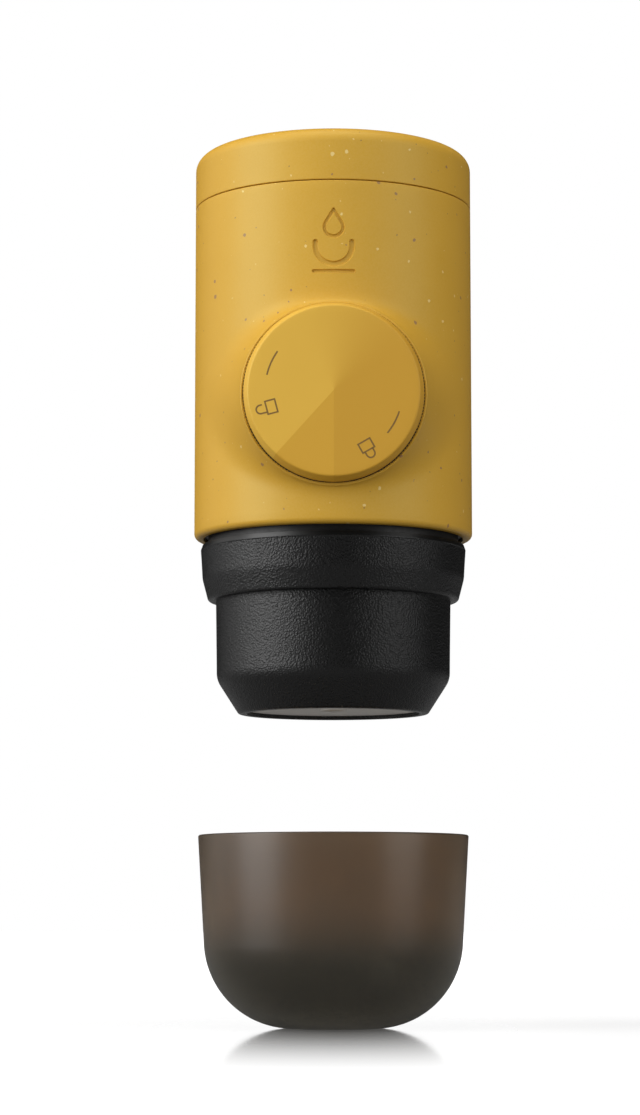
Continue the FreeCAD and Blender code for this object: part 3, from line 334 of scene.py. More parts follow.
def grey_acetal():
    # Moulded acetal: light neutral grey, waxy and a little translucent at thin edges.
    material, tree, place = blank("grey_acetal")
    cloud = add(tree, "TexNoise", place, Scale=per_mm(5.0), Detail=3.0)
    wax = add(tree, "TexNoise", place, Scale=per_mm(0.5))
    tone = add(tree, "Mix", cloud, linear("#8B8D8E"), linear("#999B9C"), data_type="RGBA")
    rough = add(tree, "MapRange", wax, *NOISE_SPREAD, 0.30, 0.40)
    shader = add(tree, "BsdfPrincipled", tone, Roughness=rough, IOR=1.48, Subsurface_Weight=0.08,
                 Subsurface_Scale=1.0 * MM)
    add(tree, "OutputMaterial", shader)
    return material


def smoked_copolyester(name, roughest, smoothest, clearness, depth):
    # Copolyester tinted smoke grey, injection moulded. The cup's outside is lightly frosted by its tool, so
    # what is behind it spreads into a soft dark glow. Its inside and rim are polished and mirror in thin
    # streaks. The smoke is brownish grey by the rim, and a deeper and cooler grey in the thicker bowl.
    material, tree, place = blank(name)
    frost = add(tree, "TexNoise", place, Scale=per_mm(0.4))
    swirl = add(tree, "TexNoise", place, Scale=per_mm(14.0))
    height = add(tree, "SeparateXYZ", place).outputs[2]
    deep_below, thin_above = DEEP_SMOKE_BELOW * CUP_HEIGHT * MM, THIN_SMOKE_ABOVE * CUP_HEIGHT * MM
    thin = add(tree, "MapRange", height, deep_below, thin_above, 0.0, 1.0, interpolation_type="SMOOTHSTEP")
    tone = add(tree, "Mix", thin, linear("#5A5548"), linear("#8A7660"), data_type="RGBA")
    veil = add(tree, "MapRange", swirl, 0.35, 0.65, 0.0, 0.2)
    tone = add(tree, "Mix", veil, tone, linear("#645F55"), data_type="RGBA")
    rough = add(tree, "MapRange", swirl, *NOISE_SPREAD, smoothest, roughest)
    relief = add(tree, "Bump", Height=frost, Distance=0.01 * MM, Strength=depth)
    shader = add(tree, "BsdfPrincipled", tone, Roughness=rough, IOR=1.57, Transmission_Weight=clearness,
                 Normal=relief)
    add(tree, "OutputMaterial", shader)
    return material


def blown_copolyester():
    # Clear copolyester, blow-moulded: glassy, with a very slight flow ripple and a cool grey cast in its
    # edges.
    material, tree, place = blank("blown_copolyester")
    ripple = add(tree, "TexNoise", place, Scale=per_mm(6.0))
    tone = add(tree, "Mix", ripple, linear("#E9EEEE"), linear("#F3F6F6"), data_type="RGBA")
    rough = add(tree, "MapRange", ripple, *NOISE_SPREAD, 0.03, 0.07)
    relief = add(tree, "Bump", Height=ripple, Distance=0.03 * MM, Strength=0.3)
    shader = add(tree, "BsdfPrincipled", tone, Roughness=rough, IOR=1.54, Transmission_Weight=1.0,
                 Normal=relief)
    add(tree, "OutputMaterial", shader)
    return material


def brushed_stainless():
    # Stainless sheet, drawn and then fine-brushed: satin grey that smears a lamp along its turning marks.
    # The marks are under 0.05 mm apart, too fine to show, so they are drawn at 0.3 mm.
    material, tree, place = blank("brushed_stainless")
    drawn = add(tree, "Mapping", place, Scale=(0.12, 0.12, 1.0))
    marks = add(tree, "TexNoise", drawn, Scale=per_mm(0.3), Detail=3.0, Roughness=0.6)
    tone = add(tree, "Mix", marks, linear("#BDBBB7"), linear("#CFCDC9"), data_type="RGBA")
    rough = add(tree, "MapRange", marks, *NOISE_SPREAD, 0.26, 0.40)
    relief = add(tree, "Bump", Height=marks, Distance=0.006 * MM, Strength=0.4)
    shader = add(tree, "BsdfPrincipled", tone, Metallic=1.0, Roughness=rough, Normal=relief)
    add(tree, "OutputMaterial", shader)
    return material


def blasted_stainless():
    # Stainless sheet, bead-blasted: a warm silver grey with no direction, that takes light as a soft even
    # bloom. The pits are about 0.05 mm wide, too fine to show, so they are drawn at 0.3 mm.
    material, tree, place = blank("blasted_stainless")
    pits = add(tree, "TexNoise", place, Scale=per_mm(0.3), Detail=2.0)
    tone = add(tree, "Mix", pits, linear("#EAE6E0"), linear("#F4F0EA"), data_type="RGBA")
    rough = add(tree, "MapRange", pits, *NOISE_SPREAD, 0.44, 0.54)
    relief = add(tree, "Bump", Height=pits, Distance=0.01 * MM, Strength=0.4)
    shader = add(tree, "BsdfPrincipled", tone, Metallic=1.0, Roughness=rough, Normal=relief)
    add(tree, "OutputMaterial", shader)
    return material


def bright_stainless():
    # Drawn stainless wire and machined fasteners: brighter and slicker than the sheet, and a little uneven in
    # gloss. The draw lines are too fine to show, so the unevenness is drawn at 0.5 mm.
    material, tree, place = blank("bright_stainless")
    uneven = add(tree, "TexNoise", place, Scale=per_mm(0.5), Detail=3.0)
    tone = add(tree, "Mix", uneven, linear("#B5B5B4"), linear("#CBCBCA"), data_type="RGBA")
    rough = add(tree, "MapRange", uneven, *NOISE_SPREAD, 0.18, 0.30)
    shader = add(tree, "BsdfPrincipled", tone, Metallic=1.0, Roughness=rough)
    add(tree, "OutputMaterial", shader)
    return material


def silicone(name, dark, light, clearness):
    # Moulded silicone rubber: matt with a soft greasy sheen and a faint dusty bloom.
    material, tree, place = blank(name)
    bloom = add(tree, "TexNoise", place, Scale=per_mm(1.2), Detail=4.0, Roughness=0.6)
    tone = add(tree, "Mix", bloom, linear(dark), linear(light), data_type="RGBA")
    rough = add(tree, "MapRange", bloom, *NOISE_SPREAD, 0.50, 0.68)
    shader = add(tree, "BsdfPrincipled", tone, Roughness=rough, IOR=1.41, Transmission_Weight=clearness,
                 Sheen_Weight=0.15, Sheen_Roughness=0.5)
    add(tree, "OutputMaterial", shader)
    return material


FLECKED_ABS = flecked_abs()
SATIN_ABS = satin_abs()
PRINTING_INK = printing_ink()
BRIGHT_STAINLESS = bright_stainless()
SMOKE_FROSTED = smoked_copolyester(
    "frosted_smoked_copolyester", roughest=0.36, smoothest=0.31, clearness=0.90, depth=0.08
)
SMOKE_POLISHED = smoked_copolyester(
    "polished_smoked_copolyester", roughest=0.10, smoothest=0.07, clearness=0.97, depth=0.02
)
BLACK_SILICONE = silicone("black_silicone", dark="#191919", light="#262625", clearness=0.0)
CLEAR_SILICONE = silicone("clear_silicone", dark="#D8DADA", light="#E8EAEA", clearness=0.55)

FINISHES = (
    (FLECKED_ABS, ("tank_cap",)),
    (leather_grained_nylon(), ("outlet_head",)),
    (glass_filled_nylon(), ("group_head", "pump_housing", "piston_sleeve", "bayonet_collar", "tank_socket")),
    (grey_acetal(), ("valve_seat", "plunger_rod")),
    (blown_copolyester(), ("water_tank",)),
    (blasted_stainless(), ("spout_plate",)),
    (brushed_stainless(), ("filter_basket", "shower_screen", "inlet_strainer")),
    (BRIGHT_STAINLESS, (
        "return_spring", "rod_clip", "spring_washer", "screen_screw", "housing_screws", "socket_screws",
    )),
    (BLACK_SILICONE, ("crema_valve", "group_gasket", "tank_gasket")),
    (CLEAR_SILICONE, ("inlet_valve", "outlet_valve", "piston_seal", "vent_valve")),
)

for finish, names in FINISHES:
    for name in names:
        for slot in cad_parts[name].material_slots:
            slot.material = finish


# ---------------------------------------------------------------- mesh tools

def rounded(corners):
    """Points along a profile of (radius, height) corners; a third number rounds its corner."""
    points = []
    for index, corner in enumerate(corners):
        here = Vector(corner[:2])
        if len(corner) == 2:
            points.append(here)
            continue
        back = (Vector(corners[index - 1][:2]) - here).normalized()
        on = (Vector(corners[(index + 1) % len(corners)][:2]) - here).normalized()
        half = back.angle(on) / 2
        centre = here + (back + on).normalized() * corner[2] / math.sin(half)
        start = here + back * corner[2] / math.tan(half) - centre
        end = here + on * corner[2] / math.tan(half) - centre
        sweep = math.atan2(start.cross(end), start.dot(end))
        steps = max(FEWEST_ARC_STEPS, round(abs(sweep) * corner[2] / ARC_STEP))
        for step in range(steps + 1):
            points.append(centre + Matrix.Rotation(sweep * step / steps, 2) @ start)
    return points


def arc(centre, radius, start, end, steps=20):
    """Points of an arc between two angles in degrees, counted from the right."""
    angles = [math.radians(start + (end - start) * step / steps) for step in range(steps + 1)]
    return [Vector((centre[0] + radius * math.cos(a), centre[1] + radius * math.sin(a))) for a in angles]


def rows_between(solid, rows, closed):
    """Joins rows of vertices with faces. A row of one vertex is a point on the axis."""
    for first, second in zip(rows, rows[1:]):
        count = max(len(first), len(second))
        for at in range(count if closed else count - 1):
            after = (at + 1) % count
            corners = (
                first[at % len(first)], first[after % len(first)],
                second[after % len(second)], second[at % len(second)],
            )
            solid.faces.new(list(dict.fromkeys(corners)))


def turned(corners):
    """A turned solid about the Z axis, in millimetres, from a profile that starts and ends on the axis."""
    solid = bmesh.new()
    turns = [math.tau * at / SEGMENTS for at in range(SEGMENTS)]
    rows = []
    for radius, height in rounded(corners):
        ways = turns if radius > 0 else [0.0]
        rows.append([
            solid.verts.new((radius * math.cos(turn), radius * math.sin(turn), height)) for turn in ways
        ])
    rows_between(solid, rows, closed=True)
    bmesh.ops.recalc_face_normals(solid, faces=solid.faces)
    return solid


def shown_mesh(name, solid, finishes, sharp=35):
    """Shows a solid in millimetres, smooth but for the edges sharper than an angle in degrees."""
    bmesh.ops.scale(solid, vec=(MM, MM, MM), verts=solid.verts)
    mesh = bpy.data.meshes.new(name)
    solid.to_mesh(mesh)
    solid.free()
    mesh.shade_smooth()
    mesh.set_sharp_from_angle(angle=math.radians(sharp))
    for finish in finishes:
        mesh.materials.append(finish)
    shown = bpy.data.objects.new(name, mesh)
    bpy.context.scene.collection.objects.link(shown)
    return shown


def piece(name, solid, finishes, body, stands_for=(), sharp=35):
    """A shown piece of the maker, on its body, and in the place of CAD nodes."""
    shown = shown_mesh(name, solid, finishes, sharp)
    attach(shown, body)
    if stands_for:
        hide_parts(*stands_for)
    return shown


# ---------------------------------------------------------------- engraved sign: a drop over a cup

DROP_CENTRE = (0.0, 2.7)
DROP_RADIUS = 2.0
DROP_TIP = (0.0, 6.5)
BOWL_RADIUS = 3.9
BOWL_BRIM = -0.5
BOWL_WALL = 0.9
SAUCER_HALF = 4.3
SAUCER_LEVEL = -6.8


def sign_strokes():
    """Lines of the sign as (width, points), in millimetres from its middle."""
    tip = Vector(DROP_TIP)
    gap = math.degrees(math.acos(DROP_RADIUS / (DROP_TIP[1] - DROP_CENTRE[1])))
    drop = [tip, *arc(DROP_CENTRE, DROP_RADIUS, 90 - gap, -270 + gap), tip]
    bowl = [
        Vector((-BOWL_RADIUS, BOWL_BRIM)),
        *arc((0.0, BOWL_BRIM - BOWL_WALL), BOWL_RADIUS, 180, 360),
        Vector((BOWL_RADIUS, BOWL_BRIM)),
    ]
    saucer = [Vector((-SAUCER_HALF, SAUCER_LEVEL)), Vector((SAUCER_HALF, SAUCER_LEVEL))]
    return (FINE_STROKE, drop), (BROAD_STROKE, bowl), (FINE_STROKE, saucer)


def distance_to(points, spot):
    """Distance from a spot to a line through points."""
    nearest = math.inf
    for start, end in zip(points, points[1:]):
        run = end - start
        share = max(0.0, min(1.0, (spot - start).dot(run) / run.length_squared))
        nearest = min(nearest, (spot - start - run * share).length)
    return nearest


def engraved_depth(strokes, spot):
    """Depth of the engraving at a spot, with a soft wall beside each stroke."""
    past = min((distance_to(points, spot) - width / 2) / STROKE_WALL + 0.5 for width, points in strokes)
    past = max(0.0, min(1.0, past))
    return STROKE_DEPTH * (1 - past * past * (3 - 2 * past))


# ---------------------------------------------------------------- body shell

BORE_RADIUS = BUTTON_RADIUS + BORE_GAP
LIP_RADIUS = BORE_RADIUS + LIP_WIDTH
INNER_RADIUS = BODY_RADIUS - SHELL_WALL
DECK = SHELL_FOOT + DECK_GAP


def on_wall(radius, angle, height):
    """A place on an upright round wall; angle 0 is the front."""
    return Vector((radius * math.sin(angle), -radius * math.cos(angle), height))


def flare_reach(direction):
    """How far the boss's foot spreads in a direction round its axis: wide at the sides, and narrow above
    and below."""
    return LIP_RADIUS + FLARE_LOW + (FLARE_WIDE - FLARE_LOW) * math.cos(direction) ** 2


def boss_profile(direction):
    """(distance from the pump's axis, depth to the front) along the boss, from the bore out to its foot."""
    reach = flare_reach(direction)
    side = math.cos(direction)
    foot_depth = math.sqrt(BODY_RADIUS ** 2 - (reach * side) ** 2)
    slope = -reach * side * side / foot_depth
    wall_slope = -1 / BOSS_WALL_LEAN
    lip = Vector((LIP_RADIUS, BOSS_FACE - LIP_ROUND))
    bend_at = (foot_depth - slope * reach - lip.y + wall_slope * lip.x) / (wall_slope - slope)
    bend = Vector((bend_at, lip.y + wall_slope * (bend_at - lip.x)))
    foot = Vector((reach, foot_depth))
    points = rounded((
        (BORE_RADIUS, BOSS_FACE - LIP_ROUND), (BORE_RADIUS, BOSS_FACE, BORE_EDGE_ROUND),
        (LIP_RADIUS, BOSS_FACE, LIP_ROUND), tuple(lip),
    ))
    for step in range(1, FLARE_STEPS + 1):
        share = step / FLARE_STEPS
        points.append(lip * (1 - share) ** 2 + bend * (2 * share * (1 - share)) + foot * share ** 2)
    return points


def boss_place(direction, distance, depth):
    """A place on the boss: its direction and distance from the pump's axis, and its depth to the front."""
    return Vector((distance * math.cos(direction), -depth, PUMP_HEIGHT + distance * math.sin(direction)))


def wall_grid(radius, low, high, step, taken):
    """(angle, height, place) spots over a round wall, left out where something else takes the place."""
    rows = max(1, round((high - low) / step))
    spots = []
    for row in range(rows + 1):
        height = low + (high - low) * row / rows
        for column in range(SEGMENTS + 1):
            angle = math.tau * (column / SEGMENTS - 0.5)
            if row in (0, rows) or column in (0, SEGMENTS) or not taken(angle, height):
                spots.append((angle, height, on_wall(radius, angle, height)))
    return spots


def skin(solid, spots, hole):
    """Covers wall spots with triangles but for a hole, whose edge is the first spots, and gives back their
    vertices."""
    flat = [Vector((BODY_RADIUS * angle, height)) for angle, height, _ in spots]
    edge = [(at, (at + 1) % hole) for at in range(hole)]
    covered = geometry.delaunay_2d_cdt(flat, edge, [], 0, FLAT_WELD)
    triangles, sources = covered[2], covered[3]
    vertices = [solid.verts.new(place) for _, _, place in spots]
    for triangle in triangles:
        corners = [sources[at][0] for at in triangle]
        if max(corners) >= hole:
            solid.faces.new([vertices[at] for at in corners])
    return vertices


def wall_row(solid, radius, height):
    """A row of vertices all round a wall."""
    angles = [math.tau * (column / SEGMENTS - 0.5) for column in range(SEGMENTS + 1)]
    return [solid.verts.new(on_wall(radius, angle, height)) for angle in angles]


def spots_at(places):
    """Places near a wall as (angle, height, place) spots."""
    return [(math.atan2(place.x, -place.y), place.z, place) for place in places]


def boss_spots(directions):
    """Spots over the boss, ring by ring from the bore out to the foot."""
    places = []
    for ring in zip(*(boss_profile(direction) for direction in directions)):
        places += [boss_place(direction, *point) for direction, point in zip(directions, ring)]
    return spots_at(places)


def sign_spots():
    """Spots over the sign, sunk where its strokes are engraved."""
    strokes = sign_strokes()
    spots = []
    for row in range(round(2 * MARK_HALF_HEIGHT / MARK_STEP) + 1):
        for column in range(round(2 * MARK_HALF_WIDTH / MARK_STEP) + 1):
            spot = Vector((column * MARK_STEP - MARK_HALF_WIDTH, row * MARK_STEP - MARK_HALF_HEIGHT))
            angle, height = spot.x / BODY_RADIUS, MARK_HEIGHT + spot.y
            radius = BODY_RADIUS - engraved_depth(strokes, spot)
            spots.append((angle, height, on_wall(radius, angle, height)))
    return spots


def bore_spots(directions):
    """Spots where the bore comes through the inner wall."""
    places = []
    for direction in directions:
        beside = BORE_RADIUS * math.cos(direction)
        places.append(boss_place(direction, BORE_RADIUS, math.sqrt(INNER_RADIUS ** 2 - beside ** 2)))
    return spots_at(places)


def outside_taken(angle, height):
    """Whether the boss or the sign takes this spot of the outer wall."""
    beside, above = BODY_RADIUS * math.sin(angle), height - PUMP_HEIGHT
    reach = flare_reach(math.atan2(above, beside)) + FLARE_MARGIN
    in_boss = abs(angle) < math.pi / 2 and math.hypot(beside, above) < reach
    in_sign = (abs(BODY_RADIUS * angle) < MARK_HALF_WIDTH + SIGN_MARGIN
               and abs(height - MARK_HEIGHT) < MARK_HALF_HEIGHT + SIGN_MARGIN)
    return in_boss or in_sign


def inside_taken(angle, height):
    """Whether the bore takes this spot of the inner wall."""
    beside, above = INNER_RADIUS * math.sin(angle), height - PUMP_HEIGHT
    return abs(angle) < math.pi / 2 and math.hypot(beside, above) < BORE_RADIUS + BORE_MARGIN


def make_body_shell():
    """A round wall with the boss and the sign in its outer skin, closed at the bore, the rim and the foot."""
    solid = bmesh.new()
    directions = [math.tau * at / BOSS_DIRECTIONS for at in range(BOSS_DIRECTIONS)]
    outer_low, outer_high = SHELL_FOOT + FOOT_ROUND, SHELL_TOP - RIM_ROUND
    outer_wall = wall_grid(BODY_RADIUS, outer_low, outer_high, OUTER_ROW_STEP, outside_taken)
    outer_skin = skin(solid, boss_spots(directions) + sign_spots() + outer_wall, BOSS_DIRECTIONS)
    ledge_top = DECK + LEDGE_HEIGHT
    inner_wall = wall_grid(INNER_RADIUS, ledge_top, SHELL_TOP, INNER_ROW_STEP, inside_taken)
    inner_skin = skin(solid, bore_spots(directions) + inner_wall, BOSS_DIRECTIONS)
    rows_between(solid, (outer_skin[:BOSS_DIRECTIONS], inner_skin[:BOSS_DIRECTIONS]), closed=True)

    rim = rounded((
        (BODY_RADIUS, outer_high), (BODY_RADIUS, SHELL_TOP, RIM_ROUND), (BODY_RADIUS - SEAM_DEPTH, SHELL_TOP),
        (BODY_RADIUS - SEAM_DEPTH, SHELL_TOP + SEAM_STEP), (INNER_RADIUS, SHELL_TOP + SEAM_STEP),
        (INNER_RADIUS, SHELL_TOP),
    ))
    rows_between(solid, [wall_row(solid, *point) for point in rim], closed=False)
    foot = rounded((
        (BODY_RADIUS, outer_low), (BODY_RADIUS, SHELL_FOOT, FOOT_ROUND), (INNER_RADIUS, SHELL_FOOT),
        (INNER_RADIUS, DECK), (INNER_RADIUS - LEDGE_WIDTH, DECK), (INNER_RADIUS - LEDGE_WIDTH, ledge_top),
        (INNER_RADIUS, ledge_top),
    ))
    rows_between(solid, [wall_row(solid, *point) for point in foot], closed=False)
    bmesh.ops.remove_doubles(solid, verts=solid.verts, dist=SHELL_WELD)
    bmesh.ops.recalc_face_normals(solid, faces=solid.faces)
    piece("body_shell_skin", solid, [FLECKED_ABS], "maker", ["body_shell"], sharp=50)


make_body_shell()


# ---------------------------------------------------------------- button cap

FACE_RADIUS = BUTTON_RADIUS - BUTTON_FACE_INSET
RECESS_RADIUS = SLEEVE_HIGH.x + RECESS_GAP


def facet_rise(turn):
    """Slope of the face out from its middle, in a direction counted clockwise from the top."""
    left = FACET_TILT * math.sin(turn)
    right = WEDGE_TILT * math.cos(turn) - FACET_TILT * math.sin(turn)
    turn = turn % math.tau
    if WEDGE_START <= turn <= WEDGE_END:
        return WEDGE_TILT * math.cos(turn)
    if WEDGE_END < turn <= LEFT_END:
        return left
    if turn < WEDGE_START:
        turn += math.tau
    share = min(1.0, (turn - LEFT_END) / (RIGHT_START - LEFT_END))
    share = share * share * (3 - 2 * share)
    return left * (1 - share) + right * share


FACE_LIFT = FACE_RADIUS * max(facet_rise(math.radians(turn)) for turn in range(360))


def face_drop(beside, above):
    """How far the button's face lies behind its foremost spot."""
    return FACE_LIFT - math.hypot(beside, above) * facet_rise(math.atan2(beside, above))


def to_pump_axis(solid):
    """Turns a solid made about the Z axis to the pump's axis, its top to the front."""
    solid.transform(Matrix.Translation((0, 0, PUMP_HEIGHT)) @ Matrix.Rotation(math.radians(90), 4, "X"))


def make_button_cap():
    """A turned cap with a recess for the sleeve, its face dropped into the three sectors."""
    rings = [FACE_RADIUS * (1 - at / FACE_RINGS) for at in range(1, FACE_RINGS)]
    solid = turned((
        (0, BUTTON_BACK + BUTTON_RECESS),
        (RECESS_RADIUS, BUTTON_BACK + BUTTON_RECESS),
        (RECESS_RADIUS, BUTTON_BACK),
        (BUTTON_RADIUS, BUTTON_BACK),
        (BUTTON_RADIUS, BUTTON_FACE - BUTTON_BEVEL, BUTTON_BEVEL_ROUND),
        (FACE_RADIUS, BUTTON_FACE, BUTTON_EDGE_ROUND),
        *((radius, BUTTON_FACE) for radius in rings),
        (0, BUTTON_FACE),
    ))
    foot = BUTTON_FACE - BUTTON_BEVEL
    for vertex in solid.verts:
        share = max(0.0, (vertex.co.z - foot) / BUTTON_BEVEL)
        vertex.co.z -= face_drop(vertex.co.x, vertex.co.y) * share
    to_pump_axis(solid)
    piece("button_cap_skin", solid, [SATIN_ABS], "button", ["button_cap"], sharp=40)


def ribbon(solid, points):
    """A printed line: a thin closed strip along points on the button's face, mitred where it turns."""
    rows = []
    for before, spot, after in zip([points[0], *points], points, [*points[1:], points[-1]]):
        arriving = (spot - before).normalized()
        leaving = (after - spot).normalized()
        along = (arriving + leaving).normalized()
        half = PRINT_WIDTH / 2 / along.dot(leaving if after != spot else arriving)
        across = Vector((-along.y, along.x)) * half
        left, right = spot - across, spot + across
        rows.append([
            solid.verts.new((side.x, side.y, BUTTON_FACE - face_drop(side.x, side.y) + lift))
            for side, lift in (
                (left, -PRINT_SINK), (right, -PRINT_SINK), (right, PRINT_LIFT), (left, PRINT_LIFT),
            )
        ])
    rows_between(solid, rows, closed=True)
    solid.faces.new(rows[0])
    solid.faces.new(rows[-1])


def padlock(clock_turn, shackle_lift, leg_lift):
    """Lines of a padlock sign on the button's ring, its top outwards; a lifted leg leaves it open."""
    body = [Vector(corner) for corner in (
        (0, LOCK_FOOT), (LOCK_HALF, LOCK_FOOT), (LOCK_HALF, LOCK_SHOULDER), (-LOCK_HALF, LOCK_SHOULDER),
        (-LOCK_HALF, LOCK_FOOT), (0, LOCK_FOOT),
    )]
    bow_centre = (0.0, LOCK_SHOULDER + SHACKLE_RISE + shackle_lift)
    bow = arc(bow_centre, SHACKLE_RADIUS, 0, 180, SHACKLE_STEPS)
    shackle = [Vector((bow[0].x, LOCK_SHOULDER + leg_lift)), *bow, Vector((bow[-1].x, LOCK_SHOULDER))]
    spin = Matrix.Rotation(-math.radians(clock_turn), 2)
    return [[spin @ (spot + Vector((0, PRINT_RING))) for spot in line] for line in (body, shackle)]


def ring_line(start, end, steps=14):
    """Points along the button's ring between two directions in degrees, clockwise from the top."""
    turns = [math.radians(start + (end - start) * step / steps) for step in range(steps + 1)]
    return [Vector((math.sin(turn), math.cos(turn))) * PRINT_RING for turn in turns]


def make_button_print():
    """Two guide lines and the padlock signs, open at the left and closed at the lower right."""
    solid = bmesh.new()
    lines = [
        *(ring_line(start, end) for start, end in GUIDE_LINES),
        *padlock(OPEN_LOCK_AT, OPEN_LIFT, OPEN_LEG_LIFT),
        *padlock(CLOSED_LOCK_AT, 0.0, 0.0),
    ]
    for line in lines:
        ribbon(solid, line)
    bmesh.ops.recalc_face_normals(solid, faces=solid.faces)
    to_pump_axis(solid)
    piece("button_print", solid, [PRINTING_INK], "button")


make_button_print()
make_button_cap()


# ---------------------------------------------------------------- cup

CUP_WALL = 1.25
CUP_FLOOR = 1.6
CUP_TAPER = 2.4
CUP_BOWL_ROUND = 19.0
CUP_LIP_ROUND = 0.4


def make_cup():
    """A turned cup with a round bottom, frosted outside and polished inside."""
    foot = CUP_RIM_RADIUS - CUP_TAPER
    solid = turned((
        (0, 0),
        (foot, 0, CUP_BOWL_ROUND),
        (CUP_RIM_RADIUS, CUP_HEIGHT, CUP_LIP_ROUND),
        (CUP_RIM_RADIUS - CUP_WALL, CUP_HEIGHT, CUP_LIP_ROUND),
        (foot - CUP_WALL, CUP_FLOOR, CUP_BOWL_ROUND - CUP_WALL),
        (0, CUP_FLOOR),
    ))
    for face in solid.faces:
        middle = face.calc_center_median()
        inward = face.normal.dot(Vector((0, 0, CUP_BOWL_ROUND)) - middle) > 0
        face.material_index = 1 if inward else 0
    piece("cup_skin", solid, [SMOKE_FROSTED, SMOKE_POLISHED], "cup", ["cup"])


make_cup()


# ---------------------------------------------------------------- crema valve's spring

SPRING_WIRE = 0.5
SPRING_TURNS = 3.5
COIL_STEPS = 140
WIRE_SIDES = 12


def make_crema_spring():
    """A round wire wound up under the valve."""
    low, high = size_of("crema_spring")
    length = high.z - low.z
    wire = SPRING_WIRE / 2
    round_wire = arc((0, 0), wire, 0, 360 - 360 / WIRE_SIDES, WIRE_SIDES - 1)
    solid = bmesh.new()
    rows = []
    for step in range(COIL_STEPS + 1):
        share = step / COIL_STEPS
        turn = math.tau * SPRING_TURNS * share
        out = Vector((math.cos(turn), math.sin(turn), 0))
        level = low.z + wire + (length - SPRING_WIRE) * share
        middle = out * (high.x - wire) + Vector((0, 0, level))
        rows.append([
            solid.verts.new(middle + out * spot.x + Vector((0, 0, spot.y))) for spot in round_wire
        ])
    rows_between(solid, rows, closed=True)
    solid.faces.new(rows[0])
    solid.faces.new(rows[-1])
    bmesh.ops.recalc_face_normals(solid, faces=solid.faces)
    coil = piece(
        "crema_spring_coil", solid, [BRIGHT_STAINLESS], "head", ["crema_spring"], sharp=60
    )
    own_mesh(coil)


make_crema_spring()


# ---------------------------------------------------------------- studio

FLOOR_RADIUS = 4000.0
FLOOR_THICKNESS = 0.5
FLOOR_NEAR = 120.0
FLOOR_FAR = 600.0
FLOOR_LIGHT_NEAR = 0.60
FLOOR_LIGHT_IN_GLOSS = 0.1
MIRROR_OVAL = (2.2, 1.0, 1.0)
MIRROR_REACH = 220.0
MIRROR_STRENGTH = 0.95
MIRROR_ROUGHNESS = 0.07
FLAT_GLANCE = (0.89, 0.935)

# Fades are in the cosine of the angle from a direction, and light is 1 where it is white.
ROOM_LIGHT = 0.12
WALL_DIRECTION = (-0.33, -0.85, 0.41)
WALL_FADE = (-0.1, 0.9)
WALL_LIGHT = 1.05
REAR_FADE = (-0.3, -0.95)
REAR_LIGHT = 0.60
BACKDROP_FADE = (0.985, 0.998)
ROOM_LIGHT_IN_GLOSS = 0.02
SHEET_DIRECTION = (-0.951, -0.168, 0.26)
SHEET_FADE = (0.45, 0.95)

# Azimuth and elevation in degrees, distance, width and height in metres, power in watts.
LAMPS = (
    ("key_left", -66, 18, 0.85, 0.55, 0.9, 4.3),
    ("fill_right", 62, 14, 1.0, 0.60, 0.9, 2.2),
    ("overhead", 0, 78, 0.8, 0.6, 0.5, 1.35),
)
LAMPS_AIM = (0, 0, 0.1)

FOCAL_LENGTH = 97.15
SENSOR_WIDTH = 36.0
EYE_PLACE = (-0.00290, -0.6562, 0.0240)
EYE_TILT = math.radians(96.80)


def straight_rays(tree):
    """The kinds of ray, and a 1 for one that reaches the eye straight or through glass."""
    rays = add(tree, "LightPath")
    straight = add(tree, "Math", rays.outputs["Is Camera Ray"], rays.outputs["Is Transmission Ray"],
                   operation="MAXIMUM")
    return rays, straight


def studio_floor():
    # Pale satin board: it takes the object's soft shadow and, at a flat glance, a reflection that fades with
    # the distance. It is white to the eye and through glass from a little way off, and dim in gloss, so black
    # stays deep.
    material, tree, place = blank("pale_floor")
    rays, straight = straight_rays(tree)
    mottle = add(tree, "TexNoise", place, Scale=per_mm(30.0))
    pale = add(tree, "Mix", mottle, linear("#787878"), linear("#7C7C7C"), data_type="RGBA")
    pale = add(tree, "Mix", straight, pale, linear("#C4C4C4"), data_type="RGBA")
    board = add(tree, "BsdfDiffuse", pale)
    distance = add(tree, "VectorMath", place, operation="LENGTH")
    white = add(tree, "MapRange", distance, FLOOR_NEAR * MM, FLOOR_FAR * MM, FLOOR_LIGHT_NEAR, 1.0,
                interpolation_type="SMOOTHSTEP")
    in_gloss = add(tree, "Math", rays.outputs["Is Glossy Ray"], FLOOR_LIGHT_IN_GLOSS, operation="MULTIPLY")
    shown_white = add(tree, "Math", straight, in_gloss, operation="MAXIMUM")
    lift = add(tree, "Math", shown_white, white, operation="MULTIPLY")
    lit = add(tree, "AddShader", board, add(tree, "Emission", Strength=lift))
    mirror = add(tree, "BsdfGlossy", linear("#FFFFFF"), MIRROR_ROUGHNESS)
    oval = add(tree, "VectorMath", place, MIRROR_OVAL, operation="MULTIPLY")
    reach = add(tree, "VectorMath", oval, operation="LENGTH")
    near = add(tree, "MapRange", reach, 0.0, MIRROR_REACH * MM, MIRROR_STRENGTH, 0.0,
               interpolation_type="SMOOTHSTEP")
    flat = add(tree, "MapRange", add(tree, "LayerWeight").outputs["Facing"], *FLAT_GLANCE, 0.0, 1.0)
    seen = add(tree, "Math", flat, rays.outputs["Is Camera Ray"], operation="MULTIPLY")
    mirrored = add(tree, "Math", near, seen, operation="MULTIPLY")
    add(tree, "OutputMaterial", add(tree, "MixShader", mirrored, lit, mirror))
    board_edge = ((0, -FLOOR_THICKNESS), (FLOOR_RADIUS, -FLOOR_THICKNESS), (FLOOR_RADIUS, 0), (0, 0))
    floor = shown_mesh("studio_floor", turned(board_edge), [material])


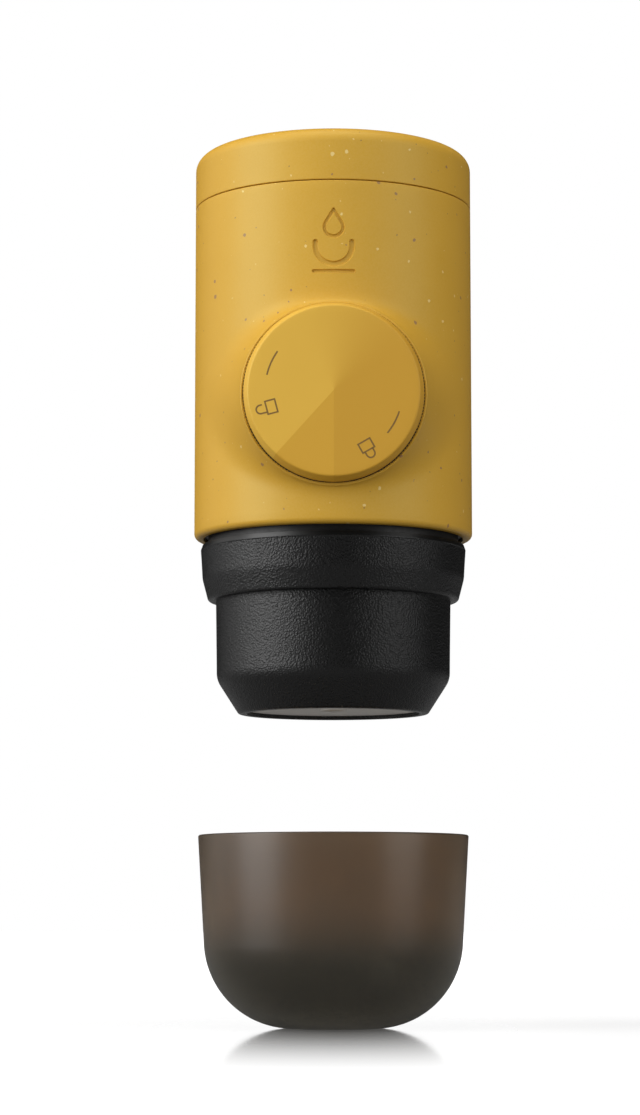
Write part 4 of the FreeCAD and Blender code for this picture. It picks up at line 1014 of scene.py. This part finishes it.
def studio_world():
    # Soft light from a pale wall before the object, less of it from behind, and a white backdrop to the eye
    # and through glass. For gloss the white is the backdrop behind the object and a hanging sheet at its
    # left, and the rest of the room is dim, so black stays deep.
    world = bpy.data.worlds.new("studio")
    world.use_nodes = True
    tree = world.node_tree
    tree.nodes.clear()
    way = add(tree, "TexCoord").outputs["Generated"]
    to_wall = add(tree, "VectorMath", way, WALL_DIRECTION, operation="DOT_PRODUCT")
    before = add(tree, "MapRange", to_wall, *WALL_FADE, ROOM_LIGHT, WALL_LIGHT,
                 interpolation_type="SMOOTHSTEP")
    behind = add(tree, "MapRange", to_wall, *REAR_FADE, ROOM_LIGHT, REAR_LIGHT,
                 interpolation_type="SMOOTHSTEP")
    room = add(tree, "Math", before, behind, operation="MAXIMUM")
    depth = add(tree, "SeparateXYZ", way).outputs[1]
    backdrop = add(tree, "MapRange", depth, *BACKDROP_FADE, ROOM_LIGHT_IN_GLOSS, 1.0,
                   interpolation_type="SMOOTHSTEP")
    to_sheet = add(tree, "VectorMath", way, SHEET_DIRECTION, operation="DOT_PRODUCT")
    sheet = add(tree, "MapRange", to_sheet, *SHEET_FADE, 0.0, 1.0, interpolation_type="SMOOTHSTEP")
    in_gloss = add(tree, "Math", backdrop, sheet, operation="MAXIMUM")
    rays, straight = straight_rays(tree)
    level = add(tree, "Mix", rays.outputs["Is Glossy Ray"], room, in_gloss)
    level = add(tree, "Mix", straight, level, 1.0)
    add(tree, "OutputWorld", add(tree, "Background", linear("#FFFFFF"), level))
    bpy.context.scene.world = world


def softbox(name, azimuth, elevation, distance, width, height, power):
    """A soft rectangular lamp aimed at the object's middle; azimuth 0 is the front, positive to the right."""
    lamp = bpy.data.lights.new(name, "AREA")
    lamp.shape = "RECTANGLE"
    lamp.size, lamp.size_y = width, height
    lamp.energy = power
    shown = bpy.data.objects.new(name, lamp)
    side, rise = math.radians(azimuth), math.radians(elevation)
    out = Vector((math.sin(side) * math.cos(rise), -math.cos(side) * math.cos(rise), math.sin(rise)))
    shown.location = Vector(LAMPS_AIM) + out * distance
    shown.rotation_euler = out.to_track_quat("Z", "Y").to_euler()
    bpy.context.scene.collection.objects.link(shown)


def camera():
    """The eye before the maker, low and looking a little up."""
    lens = bpy.data.cameras.new("camera")
    lens.lens = FOCAL_LENGTH
    lens.sensor_width = SENSOR_WIDTH
    eye = bpy.data.objects.new("camera", lens)
    eye.location = EYE_PLACE
    eye.rotation_euler = (EYE_TILT, 0, 0)
    bpy.context.scene.collection.objects.link(eye)
    bpy.context.scene.camera = eye


studio_floor()
studio_world()
for lamp in LAMPS:
    softbox(*lamp)
camera()
bpy.context.scene.view_settings.view_transform = "Standard"
